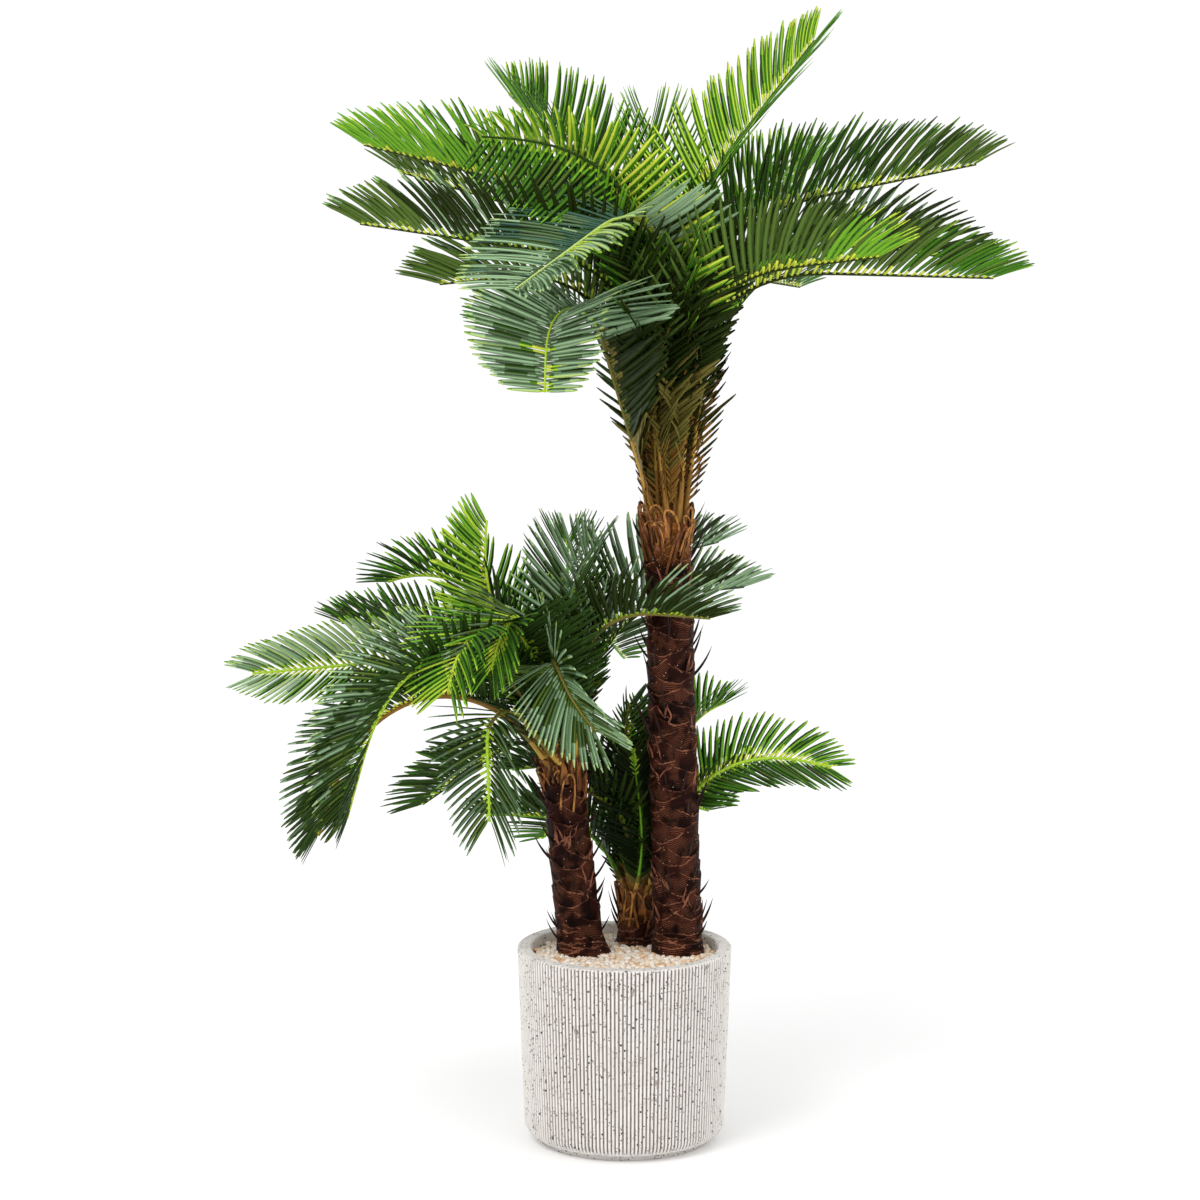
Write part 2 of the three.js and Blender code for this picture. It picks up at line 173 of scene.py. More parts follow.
def node(finish, kind, settings=None, **inputs):
    """The outputs of a new node of a material. An input is named, or numbered as i0, i1 and so
    on, and is a plain value or the output of another node."""
    made = finish.node_tree.nodes.new(kind)
    for key, value in (settings or {}).items():
        setattr(made, key, value)
    for key, value in inputs.items():
        socket = made.inputs[int(key[1:]) if key[1:].isdigit() else key.replace("_", " ")]
        if isinstance(value, bpy.types.NodeSocket):
            finish.node_tree.links.new(value, socket)
        else:
            socket.default_value = value
    return made.outputs


def object_place(finish, upwards=1.0):
    """The place on a piece, in its own metres. Its height is scaled by upwards, so a pattern is
    drawn out that way where upwards is below 1."""
    place = node(finish, "ShaderNodeTexCoord")["Object"]
    if upwards == 1:
        return place
    return node(finish, "ShaderNodeMapping", None, Vector=place, Scale=(1, 1, upwards))["Vector"]


def noise(finish, place, scale, detail):
    """Cloudy noise from 0 to 1 over a place, of so many cells a metre."""
    return node(finish, "ShaderNodeTexNoise", None, Vector=place, Scale=scale, Detail=detail)["Fac"]


def marked(finish, name):
    """What a piece keeps on its corners under a name."""
    return node(finish, "ShaderNodeAttribute", {"attribute_name": name})["Fac"]


def ramp(finish, value, low, high, to_low=0.0, to_high=1.0):
    """A value carried from low..high to to_low..to_high, and held there."""
    return node(
        finish, "ShaderNodeMapRange", {"interpolation_type": "SMOOTHSTEP"},
        Value=value, From_Min=low, From_Max=high, To_Min=to_low, To_Max=to_high,
    )["Result"]


def reckon(finish, operation, *values):
    """The outcome of an operation on values, under the name that the Math node has for it."""
    inputs = {f"i{number}": value for number, value in enumerate(values)}
    return node(finish, "ShaderNodeMath", {"operation": operation}, **inputs)["Value"]


def blend(finish, share, under, over):
    """A colour over another by a share. Either is a six-digit number or another node's colour."""
    under, over = (paint(c) if isinstance(c, int) else c for c in (under, over))
    return node(finish, "ShaderNodeMix", {"data_type": "RGBA"}, i0=share, i6=under, i7=over)[2]


def speckle(finish, place, scale, inner, outer, plain):
    """Specks in the middles of cells, so many cells a metre: 1 within the inner radius and 0 past
    the outer one, in widths of a cell. A share of the cells stays plain."""
    cells = node(finish, "ShaderNodeTexVoronoi", None, Vector=place, Scale=scale)
    few = ramp(finish, cells["Color"], plain, plain + 0.02)
    return reckon(finish, "MULTIPLY", ramp(finish, cells["Distance"], inner, outer, 1.0, 0.0), few)


def dress(finish, roughness, bump, colour=None):
    """Feeds the shader of a finish, and gives the finish back. The roughness is a ramp's value,
    ends and outcomes, and the bump is a height, its distance in metres and its strength."""
    height, distance, strength = bump
    raised = node(finish, "ShaderNodeBump", None, Strength=strength, Distance=distance, Height=height)
    sockets = finish.node_tree.nodes["Principled BSDF"].inputs
    links = finish.node_tree.links
    links.new(ramp(finish, *roughness), sockets["Roughness"])
    links.new(raised["Normal"], sockets["Normal"])
    if colour is not None:
        links.new(colour, sockets["Base Color"])
    return finish


def terrazzo():
    """Pale stone. Grooves take painted shade by the mark "groove", chips are dark specks of two
    sizes, and hair cracks follow the borders of large crooked cells, broken up by noise."""
    finish = new_finish("terrazzo", POT_STONE, 0.6)
    place = object_place(finish)
    cloud = noise(finish, place, 26.0, 4.0)
    grain = noise(finish, place, 900.0, 2.0)
    streaks = noise(finish, object_place(finish, 0.18), 130.0, 3.0)
    # Painted shade in the grooves, darker in long upright streaks.
    groove_shade = blend(finish, ramp(finish, streaks, 0.48, 0.72), GROOVE_SHADE_TONE, GROOVE_SHADE_STREAKS)
    stone = blend(finish, ramp(finish, cloud, 0.35, 0.75, 0.0, 0.7), POT_STONE, POT_CLOUD)
    colour = blend(finish, marked(finish, "groove"), stone, groove_shade)
    bent = node(finish, "ShaderNodeTexNoise", None, Vector=place, Scale=14.0, Detail=3.0)["Color"]
    crooked = node(finish, "ShaderNodeMix", {"data_type": "VECTOR"}, i0=0.06, i4=place, i5=bent)[1]
    border = node(
        finish, "ShaderNodeTexVoronoi", {"feature": "DISTANCE_TO_EDGE"}, Vector=crooked, Scale=24.0,
    )["Distance"]
    broken = ramp(finish, noise(finish, place, 34.0, 2.0), 0.47, 0.54)
    crack = reckon(finish, "MULTIPLY", ramp(finish, border, 0.0, 0.016, 1.0, 0.0), broken)
    colour = blend(finish, crack, colour, POT_CRACK)
    for chips in POT_CHIPS:
        colour = blend(finish, speckle(finish, place, *chips), colour, POT_CHIP)
    return dress(finish, (cloud, 0.3, 0.7, 0.5, 0.72), (grain, 0.0006, 0.35), colour)


def quarter(x, y, radius, start, steps):
    """A quarter round of a profile about (x, y), anticlockwise from a start in degrees."""
    angle = np.radians(start + np.linspace(0, 90, steps))
    return np.stack([x + radius * np.cos(angle), y + radius * np.sin(angle)], axis=-1)


def pot_profile():
    """The pot's outline from under its foot, up the wall, over the rim and down to its floor, and
    which of its corners are on the outside."""
    low, wall_top = FOOT_HEIGHT + EDGE_ROUND, POT_HEIGHT - RIM_ROUND
    heights = np.linspace(low, wall_top, WALL_STEPS + 2)[1:-1]
    radii = mix(BASE_RADIUS, RIM_RADIUS, (heights - low) / (wall_top - low))
    outer = np.concatenate([
        [[FOOT_RADIUS * 0.9, 0.0], [FOOT_RADIUS, 0.0], [FOOT_RADIUS, FOOT_HEIGHT]],
        quarter(BASE_RADIUS - EDGE_ROUND, low, EDGE_ROUND, -90, EDGE_STEPS),
        np.stack([radii, heights], axis=-1),
        quarter(RIM_RADIUS - RIM_ROUND, wall_top, RIM_ROUND, 0, RIM_STEPS),
    ])
    inner = np.concatenate([
        quarter(RIM_RADIUS - WALL + RIM_ROUND, wall_top, RIM_ROUND, 90, RIM_STEPS),
        [INNER_BEND, [BASE_RADIUS - WALL, POT_FLOOR]],
    ])
    return np.concatenate([outer, inner]), np.repeat([True, False], [len(outer), len(inner)])


def reeded(profile, outside):
    """The profile carried round the axis. A corner sinks along the profile's normal by the depth
    of the groove there. Across a reed, s runs from -1 to 1, and the groove opens as |s| nears 1.
    It starts above the foot and runs out on the round outer edge of the rim, which it notches."""
    along = np.gradient(profile, axis=0)
    normal = np.stack([along[:, 1], -along[:, 0]], axis=-1)
    normal /= np.linalg.norm(normal, axis=1, keepdims=True)
    radius, height = profile[:, :1], profile[:, 1:]
    angle = ((np.arange(REEDS)[:, None] + 0.5 * REED_PLACES) * 2 * np.pi / REEDS).ravel()
    s = np.tile(REED_PLACES, REEDS)
    groove = ease((np.abs(s) - GROOVE_FROM) / GROOVE_SIDE) * outside[:, None]
    groove = groove * ease((height - REED_FOOT) / REED_RUN_IN)
    groove = groove * (1 - ease((height - REED_TOP) / REED_RUN_OUT))
    out = radius - REED_DEPTH * groove * normal[:, :1]
    up = height - REED_DEPTH * groove * normal[:, 1:]
    rings = np.stack([out * np.cos(angle), out * np.sin(angle), up + 0 * out], axis=-1)
    return rings[None], groove[None]


pot_rings, pot_grooves = reeded(*pot_profile())
pot = closed_skins("planter", pot_rings, [terrazzo()])
mark(pot, "groove", pot_grooves)
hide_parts("pot")


# Trunks -----------------------------------------------------------------------------------
# Three leaning stems clad in the brown sheaths of fallen fronds. Each sheath wraps a third of the
# stem, its sagging upper rim stands off, and the next one up is tucked in behind it.

GRAVEL_TOP = 0.43
# A stem has the places of its axis and its radii at the foot and at the head, the height of its
# head, how far below that its sheaths are fresh, and the way and size of a root at its foot.
STEMS = {
    "tall": {
        "foot": (0.127, 0.029), "head": (0.097, 0.029), "top": 1.458, "radii": (0.056, 0.053),
        "fresh": 0.12, "spur": (200, 0.008), "seed": 21,
    },
    "short": {
        "foot": (-0.1, 0.024), "head": (-0.147, 0.024), "top": 0.884, "radii": (0.054, 0.046),
        "fresh": 0.03, "spur": (-18, 0.02), "seed": 22,
    },
    "small": {
        "foot": (0.028, 0.12), "head": (0.028, 0.12), "top": 0.563, "radii": (0.043, 0.038),
        "fresh": 0.08, "spur": (240, 0.004), "seed": 23,
    },
}
TRUNK_FOOT = GRAVEL_TOP + 0.0003
FLARE = 0.005
FLARE_HEIGHT = 0.06
SPUR_HEIGHT = 0.03  # of the root that swells on one side
BARK_COLUMNS = 150
BARK_STEP = 0.0021
BARK_SUNK = 0.005  # of the bare stem, under the mean radius of its bark
SHEATH_PITCH = 0.031
SHEATH_PITCH_LOW = 0.009  # in the wrapped foot
WRAPPED_HEIGHT = 0.09
SHEATHS_ROUND = 3
SHEATH_TURN = 0.37  # of a sheath's place round the stem, from one level to the next
SHEATH_LAP = 1.3  # of a sheath's width, over its even share
SHEATH_SAG = 0.036
SHEATH_STANDS = 0.0078
SHEATH_EDGE = 0.0006
SHEATH_REACH = 0.085
SHEATH_LOW = (0.35, 0.6)  # sag and stand in the wrapped foot, as shares of those above
RIM_WAVES = ((9, 0.0013), (27, 0.0006))  # waves round the stem, and their heights
FIBRE_PITCH = 0.0052
FIBRE_HEIGHT = 0.0003
BARK_CREVICE_SHADE = 0x0A0302
BARK_DARK = 0x160604
BARK_BROWN = 0x2A100A
BARK_RUST = 0x3E1B11
BARK_RIM_HIGHLIGHT = 0x946048
BARK_FRESH = 0x8A5424
BARK_FRESH_RIM_HIGHLIGHT = 0xC0904E
BARK_DOT = 0xC3A28A


def on_stem(stem, angle, height, out):
    """Points at an angle and a height that stand out from the plain skin of a leaning stem."""
    share = (height - TRUNK_FOOT) / (stem["top"] - TRUNK_FOOT)
    radius = mix(*stem["radii"], share) + out
    x = mix(stem["foot"][0], stem["head"][0], share) + radius * np.cos(angle)
    y = mix(stem["foot"][1], stem["head"][1], share) + radius * np.sin(angle)
    return np.stack([x, y, height + 0 * x], axis=-1)


def sheath_levels(stem):
    """Heights of the rims from the foot to the head: close together in the foot, then even."""
    low = np.arange(TRUNK_FOOT + 0.004, TRUNK_FOOT + WRAPPED_HEIGHT, SHEATH_PITCH_LOW)
    high = np.arange(low[-1] + 0.03, stem["top"] + 0.02, SHEATH_PITCH)
    return np.concatenate([low, high])


def bark(stem):
    """Rings of a trunk with the relief of its sheaths. A sheath is a patch in angle and height
    whose rim sags in the middle. Its surface stands off most at the rim and less with the depth
    under it, and the highest sheath at a place shows. Also gives the depth under the rim, and a
    random number for each sheath."""
    rng = np.random.default_rng(stem["seed"])
    rows = round((stem["top"] - TRUNK_FOOT) / BARK_STEP)
    height = np.linspace(TRUNK_FOOT, stem["top"], rows)[:, None]
    angle = np.arange(BARK_COLUMNS) * 2 * np.pi / BARK_COLUMNS
    relief = np.zeros((rows, BARK_COLUMNS))
    under = np.full((rows, BARK_COLUMNS), SHEATH_REACH)
    chance = np.zeros((rows, BARK_COLUMNS))
    for number, level in enumerate(sheath_levels(stem)):
        sagging, standing = SHEATH_LOW if level < TRUNK_FOOT + WRAPPED_HEIGHT else (1, 1)
        for k in range(SHEATHS_ROUND):
            place = k + number * SHEATH_TURN + rng.uniform(-0.12, 0.12)
            off = np.mod(angle - place * 2 * np.pi / SHEATHS_ROUND + np.pi, 2 * np.pi) - np.pi
            across = off / (SHEATH_LAP * np.pi / SHEATHS_ROUND)
            sag = SHEATH_SAG * rng.uniform(0.7, 1.3) * sagging
            wave = sum(high * np.sin(angle * waves + rng.uniform(0, 6)) for waves, high in RIM_WAVES)
            rim = level + rng.uniform(-0.006, 0.006) + sag * (np.abs(across) ** 1.6 - 0.5) + wave
            depth = rim - height
            stands = SHEATH_STANDS * rng.uniform(0.6, 1.0) * standing
            rise = stands * (1 - depth / SHEATH_REACH) * (1 - across**6) + SHEATH_EDGE
            shows = (depth > 0) & (depth < SHEATH_REACH) & (np.abs(across) < 1) & (rise > relief)
            relief = np.where(shows, rise, relief)
            under = np.where(shows, depth, under)
            chance = np.where(shows, rng.uniform(), chance)
    flare = FLARE * (1 - ease((height - TRUNK_FOOT) / FLARE_HEIGHT))
    fibres = FIBRE_HEIGHT * np.sin(under * 2 * np.pi / FIBRE_PITCH + 2 * np.sin(angle * 5))
    spur_way, spur_size = stem["spur"]
    spur = np.maximum(0, np.cos(angle - np.radians(spur_way))) ** 3
    spur = spur_size * spur * np.exp((TRUNK_FOOT - height) / SPUR_HEIGHT)
    rings = on_stem(stem, angle, height, flare + spur - BARK_SUNK + relief + fibres)
    return rings[None], under[None], chance[None]


def bark_finish(name, stem):
    """Brown sheath bark. Fine lines run along the rims by the mark "under"; they and the rims take a
    light tone in patches as a painted highlight, and painted shade lies deep under each rim. Each
    sheath has its own tone, and the youngest, at the head, are still tan."""
    finish = new_finish(name, BARK_BROWN, 0.6, 0.05)
    place = object_place(finish)
    under = marked(finish, "under")
    cloud = noise(finish, place, 30.0, 5.0)
    bent = reckon(finish, "MULTIPLY_ADD", cloud, 0.012, under)
    waves = reckon(finish, "SINE", reckon(finish, "MULTIPLY", bent, 1400.0))
    lines = ramp(finish, waves, 0.2, 1.0)
    patchy = ramp(finish, cloud, 0.42, 0.62)
    # Painted highlight on the rims, which face up, in patches.
    highlight_patches = ramp(finish, cloud, 0.4, 0.58, 0.2, 1.0)
    lit_rims = reckon(finish, "MULTIPLY", ramp(finish, under, 0.0006, 0.0048, 1.0, 0.0), highlight_patches)
    height = node(finish, "ShaderNodeSeparateXYZ", None, Vector=place)["Z"]
    young = reckon(finish, "MULTIPLY_ADD", cloud, 0.05, height)
    fresh = ramp(finish, young, stem["top"] - stem["fresh"] + 0.02, stem["top"] + 0.03)
    dark = blend(finish, ramp(finish, marked(finish, "chance"), 0.0, 1.0), BARK_DARK, BARK_BROWN)
    dark = blend(finish, reckon(finish, "MULTIPLY", patchy, 0.6), dark, BARK_RUST)
    ground = blend(finish, fresh, dark, BARK_FRESH)
    # Painted shade: deep under a rim, where the rim of the sheath below stands off in front, the bark
    # goes dark.
    ground = blend(finish, ramp(finish, under, 0.016, 0.05, 0.0, 0.85), ground, BARK_CREVICE_SHADE)
    # Painted highlight: the rims and the fine lines along them take a light tone, in patches.
    rim = blend(finish, fresh, BARK_RIM_HIGHLIGHT, BARK_FRESH_RIM_HIGHLIGHT)
    lit_lines = reckon(finish, "MULTIPLY", reckon(finish, "MULTIPLY", lines, patchy), 0.5)
    colour = blend(finish, lit_lines, ground, rim)
    colour = blend(finish, lit_rims, colour, rim)
    dot = speckle(finish, place, 105.0, 0.1, 0.14, 0.54)
    colour = blend(finish, dot, colour, BARK_DOT)
    raised = reckon(finish, "ADD", lines, dot)
    return dress(finish, (cloud, 0.3, 0.7, 0.42, 0.68), (raised, 0.0012, 0.6), colour)


for stem_name, stem in STEMS.items():
    bark_rings, bark_under, bark_chance = bark(stem)
    trunk = closed_skins(f"{stem_name}_bark", bark_rings, [bark_finish(f"{stem_name}_bark", stem)])
    mark(trunk, "under", bark_under)
    mark(trunk, "chance", bark_chance)
    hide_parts(f"{stem_name}_trunk")


# Gravel -----------------------------------------------------------------------------------
# Broken pebbles of cream marble, two deep, poured round the stems over a fill of the same stone.
# They lie loose, so each is turned its own way. The fill's darker tan is painted shade.

PEBBLE = 0.0075  # half of a pebble's mean width
PEBBLE_PITCH = 0.0116
PEBBLE_ROWS = 0.93  # spacing of their rows, over the pitch in a row
PEBBLE_STRAY = 0.0022
PEBBLE_LAYERS = (0.001, 0.006)  # over the fill
PEBBLE_BED = RIM_RADIUS - WALL - 0.009  # radius that they fill
PEBBLE_ROUND_STEM = 0.003
PEBBLE_TILT = 0.7  # radians, at most
PEBBLE_RINGS = (-58, -20, 20, 58)  # degrees up a ball of six-cornered rings
PEBBLE_TONES = {  # with the share of the pebbles that have each
    "ivory": (0xF6EADA, 0.34), "cream": (0xF0DCC4, 0.28), "peach": (0xE9C6A0, 0.12),
    "chalk": (0xFAF4EA, 0.2), "tan": (0xD3AC84, 0.06),
}
GRAVEL_GAP_SHADE = 0xC6966A  # of the fill: painted shade, seen in the gaps between the pebbles


def pointing(heading, rise):
    """Unit vectors at a heading h and a rise r in radians: (cos r cos h, cos r sin h, sin r)."""
    flat = np.cos(rise)
    return np.stack([flat * np.cos(heading), flat * np.sin(heading), np.sin(rise) + 0 * heading], axis=-1)


def turned(a, b, angle):
    """Two values turned as the plane's x and y are: a cos - b sin, and a sin + b cos."""
    cos, sin = np.cos(angle), np.sin(angle)
    return cos * a - sin * b, sin * a + cos * b


def pebble_stone(name, colour):
    """Marble with a fine sugary grain, in one colour."""
    finish = new_finish(name, colour, 0.55)
    grain = noise(finish, object_place(finish), 420.0, 3.0)
    return dress(finish, (grain, 0.3, 0.7, 0.42, 0.7), (grain, 0.0005, 0.5))


def pebbles():
    """Rings of broken stones. A stone is a ball of four rings of six corners, squashed by its own
    three half widths and pushed in and out at random, then turned about two axes. Also gives the
    number of each stone's tone."""
    rng = np.random.default_rng(11)
    across = np.arange(-PEBBLE_BED, PEBBLE_BED, PEBBLE_PITCH)
    x, y = (grid.ravel() for grid in np.meshgrid(across, across * PEBBLE_ROWS))
    x = np.concatenate([x, x + PEBBLE_PITCH / 2]) + rng.normal(0, PEBBLE_STRAY, 2 * x.size)
    y = np.concatenate([y, y + PEBBLE_PITCH / 2]) + rng.normal(0, PEBBLE_STRAY, 2 * y.size)
    z = GRAVEL_TOP + np.repeat(PEBBLE_LAYERS, x.size // 2) + rng.uniform(-0.001, 0.0042, x.size)
    kept = np.hypot(x, y) < PEBBLE_BED
    for stem in STEMS.values():
        clear = stem["radii"][0] + PEBBLE_ROUND_STEM
        kept &= np.hypot(x - stem["foot"][0], y - stem["foot"][1]) > clear
    middle = np.stack([x, y, z], axis=-1)[kept]
    rise = np.radians(PEBBLE_RINGS)[:, None]
    turn = np.radians(np.arange(0, 360, 60) + np.array([0, 30, 0, 30])[:, None])
    count = len(middle)
    size = PEBBLE * rng.uniform((0.8, 0.65, 0.5), (1.5, 1.15, 0.9), (count, 3))
    stones = pointing(turn, rise) * rng.uniform(0.78, 1.14, (count, 4, 6, 1)) * size[:, None, None]
    for first, low, high in ((1, -PEBBLE_TILT, PEBBLE_TILT), (0, 0, 2 * np.pi)):
        angle = rng.uniform(low, high, count)[:, None, None]
        a, b = turned(stones[..., first], stones[..., first + 1], angle)
        stones[..., first], stones[..., first + 1] = a, b
    shares = [share for _, share in PEBBLE_TONES.values()]
    return stones + middle[:, None, None], rng.choice(len(shares), (count, 1, 1), p=shares)


stones, stone_tones = pebbles()
stone_finishes = [pebble_stone(f"{tone}_pebble", colour) for tone, (colour, _) in PEBBLE_TONES.items()]
gravel = closed_skins("pebbles", stones, stone_finishes, stone_tones)
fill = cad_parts["gravel_fill"]
fill.data.materials.clear()
fill.data.materials.append(pebble_stone("fill_gap_shade", GRAVEL_GAP_SHADE))


# Spines, hooks and fibres -----------------------------------------------------------------
# What is left of old frond stalks: dark stiff spines that point up and out, and pale curled hooks
# that lie on the bark in forks. On the heads of the stems, tan fibres stand in loops or wind up
# from the bark, and flat pointed scales clasp the feet of the fronds.

SPINE_LENGTH = 0.07
SPINE_HALF = 0.0031
SPINE_SUNK = 0.005
HOOK_HEIGHT = 0.05
HOOK_SPREAD = 0.017
HOOK_HALF = 0.0028
FIBRE_HALF = 0.0027
FIBRE_LIFT = 0.012  # of a loop's top, off the bark
SCALE_HALF = 0.0105
SCALE_FLAT = 0.16  # thickness over width
GOLDEN_ANGLE = 137.5
TUBE_SIDES = 6
TUBE_STEPS = 12
# How many spines, forks, loops, winding fibres and scales each stem has.
STALKS = {"tall": (84, 46, 48, 16, 26), "short": (40, 22, 24, 8, 20), "small": (12, 3, 14, 40, 5)}
STALK_TONES = (0, 1, 2, 2, 4)  # a fibre or a scale takes this tone or the next, by chance
STALK_COLOURS = {
    "spine": 0x21140E, "hook": 0x8A5540, "fibre": 0xB88044, "old_fibre": 0x84502A,
    "scale": 0x96602F, "old_scale": 0x6A3C1E,
}


def unit(vectors):
    """Vectors brought to length 1."""
    return vectors / np.maximum(np.linalg.norm(vectors, axis=-1, keepdims=True), 1e-9)


def drawn(rng, low, high, count):
    """A column of so many numbers, drawn evenly between low and high."""
    return rng.uniform(low, high, count)[:, None]


def strayed(rng, spread, count):
    """A column of so many numbers, drawn normally about 0 with a spread."""
    return rng.normal(0, spread, count)[:, None]


def tubes(paths, halves, heading, flat=1.0):
    """Rings of tubes along paths[tube, step, xyz], of halves[tube, step] in radius. A ring lies
    across the path, and its thickness towards the heading is a share of its width, flat."""
    along = unit(np.gradient(paths, axis=1))
    side = unit(np.cross(along, pointing(heading, 0)))
    upright = np.cross(along, side)
    turn = np.arange(TUBE_SIDES)[:, None] * 2 * np.pi / TUBE_SIDES
    ring = np.cos(turn) * side[:, :, None] + flat * np.sin(turn) * upright[:, :, None]
    return paths[:, :, None] + ring * halves[:, :, None, None]


def stalk_finish(name, colour):
    """Dry stalk with a fine grain, darker in long streaks."""
    finish = new_finish(name, colour, 0.5, 0.15)
    grain = noise(finish, object_place(finish), 260.0, 3.0)
    streaks = noise(finish, object_place(finish, 0.2), 120.0, 3.0)
    streaked = blend(finish, ramp(finish, streaks, 0.4, 0.62, 0.0, 0.75), colour, BARK_BROWN)
    return dress(finish, (grain, 0.3, 0.7, 0.4, 0.62), (grain, 0.0005, 0.4), streaked)


def spines(stem, u, count, rng):
    """Tapering spines that leave the bark slanting up and bend upwards, more of them near the
    head. With u along a spine, from 0 to 1, it goes out by its slant as u less a quarter of u
    squared, and up by its slant as u, with 0.15 u squared of its length more."""
    angle = drawn(rng, 0, 2 * np.pi, count)
    height = mix(TRUNK_FOOT + 0.03, stem["top"] - 0.015, drawn(rng, 0, 1, count) ** 0.75)
    length = SPINE_LENGTH * drawn(rng, 0.6, 1.25, count)
    slant = np.radians(drawn(rng, 38, 62, count))
    out = length * np.cos(slant) * (u - 0.25 * u**2) - SPINE_SUNK
    up = length * np.sin(slant) * u + 0.15 * length * u**2
    paths = on_stem(stem, angle + strayed(rng, 0.12, count) * u, height, 0)
    paths = paths + np.stack([out * np.cos(angle), out * np.sin(angle), up], axis=-1)
    halves = SPINE_HALF * drawn(rng, 0.8, 1.2, count) * (1.02 - u**2)
    return tubes(paths, halves, angle + np.pi / 2)


def hooks(stem, u, count, rng):
    """Pairs of prongs that part from near one foot and rise close to the bark. A prong goes
    sideways with its height u as u (1 + b (1 - u)) with a sine wave added, b its own bow."""
    forked = np.repeat(np.arange(count), 2)
    sign = np.tile([-1, 1], count)[:, None]
    angle = drawn(rng, 0, 2 * np.pi, count)[forked] + strayed(rng, 0.12, 2 * count)
    height = drawn(rng, TRUNK_FOOT + 0.02, stem["top"] - 0.06, count)[forked]
    height = height + strayed(rng, 0.005, 2 * count)
    tall = HOOK_HEIGHT * drawn(rng, 0.15, 1.2, 2 * count)
    wide = HOOK_SPREAD * drawn(rng, 0.15, 1.3, 2 * count) / stem["radii"][0]
    lean = strayed(rng, 0.2, count)[forked] * u
    lifted = drawn(rng, 0.002, 0.009, 2 * count)
    bent = u * (1 + drawn(rng, -0.6, 1.3, 2 * count) * (1 - u))
    bent = bent + strayed(rng, 0.2, 2 * count) * np.sin(2 * np.pi * u)
    around = angle + lean + sign * wide * bent
    paths = on_stem(stem, around, height + tall * u, 0.001 + lifted * u**2)
    halves = HOOK_HALF * drawn(rng, 0.6, 1.2, 2 * count)
    halves = halves * (0.7 + 0.4 * np.sin(np.pi * u)) * (1.02 - u**2)
    return tubes(paths, halves, angle)


def fibre_loops(stem, u, count, rng):
    """Fibres bent into tall narrow arches on the head of a stem, both feet tucked in the bark.
    With u along a fibre it goes round the stem as cos(pi u), and up and off it as sin(pi u) to
    the power 0.6."""
    angle = drawn(rng, 0, 2 * np.pi, count)
    wide = drawn(rng, 0.005, 0.019, count) / stem["radii"][1]
    tall = drawn(rng, 0.025, 0.09, count)
    height = stem["top"] - drawn(rng, 0.3, 1.2, count) * tall
    arch = np.sin(np.pi * u) ** 0.6
    around = angle + wide * np.cos(np.pi * u) + strayed(rng, 0.26, count) * arch
    at = height + tall * arch + strayed(rng, 0.012, count) * u
    paths = on_stem(stem, around, at, 0.001 + FIBRE_LIFT * arch)
    halves = FIBRE_HALF * drawn(rng, 0.7, 1.2, count) * (1 + 0 * u)
    return tubes(paths, halves, angle)


def fibre_waves(stem, u, count, rng):
    """Fibres that wind to and fro up the head of a stem. The angle round the stem swings as a
    sine of u, the share of the fibre's height, and above the head the fibre draws in."""
    angle = drawn(rng, 0, 2 * np.pi, count)
    swing = drawn(rng, 0.008, 0.024, count) / stem["radii"][1]
    tall = drawn(rng, 0.03, 0.075, count)
    at = stem["top"] - drawn(rng, 0, 0.1, count) + tall * u
    phase = drawn(rng, 1.0, 2.2, count) * u + drawn(rng, 0, 2, count)
    around = angle + swing * np.sin(np.pi * phase)
    paths = on_stem(stem, around, at, 0.002 - 0.1 * np.maximum(0, at - stem["top"]))
    halves = FIBRE_HALF * drawn(rng, 0.7, 1.2, count) * (1.02 - (2 * u - 1) ** 4)
    return tubes(paths, halves, angle)


def head_scales(stem, u, count, rng):
    """Flat pointed scales that clasp the head of a stem, set round it by the golden angle. A
    scale rises straight with u and narrows by u cubed."""
    angle = np.radians(GOLDEN_ANGLE * np.arange(count)[:, None] + strayed(rng, 8, count))
    at = stem["top"] - drawn(rng, 0.01, 0.06, count)
    at = at + drawn(rng, 0.04, 0.08, count) * u
    paths = on_stem(stem, angle, at, 0.002 + 0.006 * u)
    halves = SCALE_HALF * drawn(rng, 0.7, 1.2, count) * (1.01 - u**3)
    return tubes(paths, halves, angle, SCALE_FLAT)


stalk_finishes = [stalk_finish(name, colour) for name, colour in STALK_COLOURS.items()]
makers = (spines, hooks, fibre_loops, fibre_waves, head_scales)
u = np.linspace(0, 1, TUBE_STEPS)
for stem_name, stem in STEMS.items():
    rng = np.random.default_rng(stem["seed"] + 10)
    parts = [maker(stem, u, count, rng) for maker, count in zip(makers, STALKS[stem_name])]
    tones = np.repeat(STALK_TONES, [len(part) for part in parts])
    tones += (tones > 1) * rng.integers(0, 2, len(tones))
    rings = np.concatenate(parts)
    stalks = closed_skins(f"{stem_name}_stalks", rings, stalk_finishes, tones[:, None, None])


# Crowns -----------------------------------------------------------------------------------
# Feather fronds in rings on the head of each stem, the oldest outermost. A frond has a stiff
# tapering rib and two rows of narrow folded leaflets. Those on its stalk are short, tan and
# spiny, and the rest are green, lime at the root and yellower towards the tip.

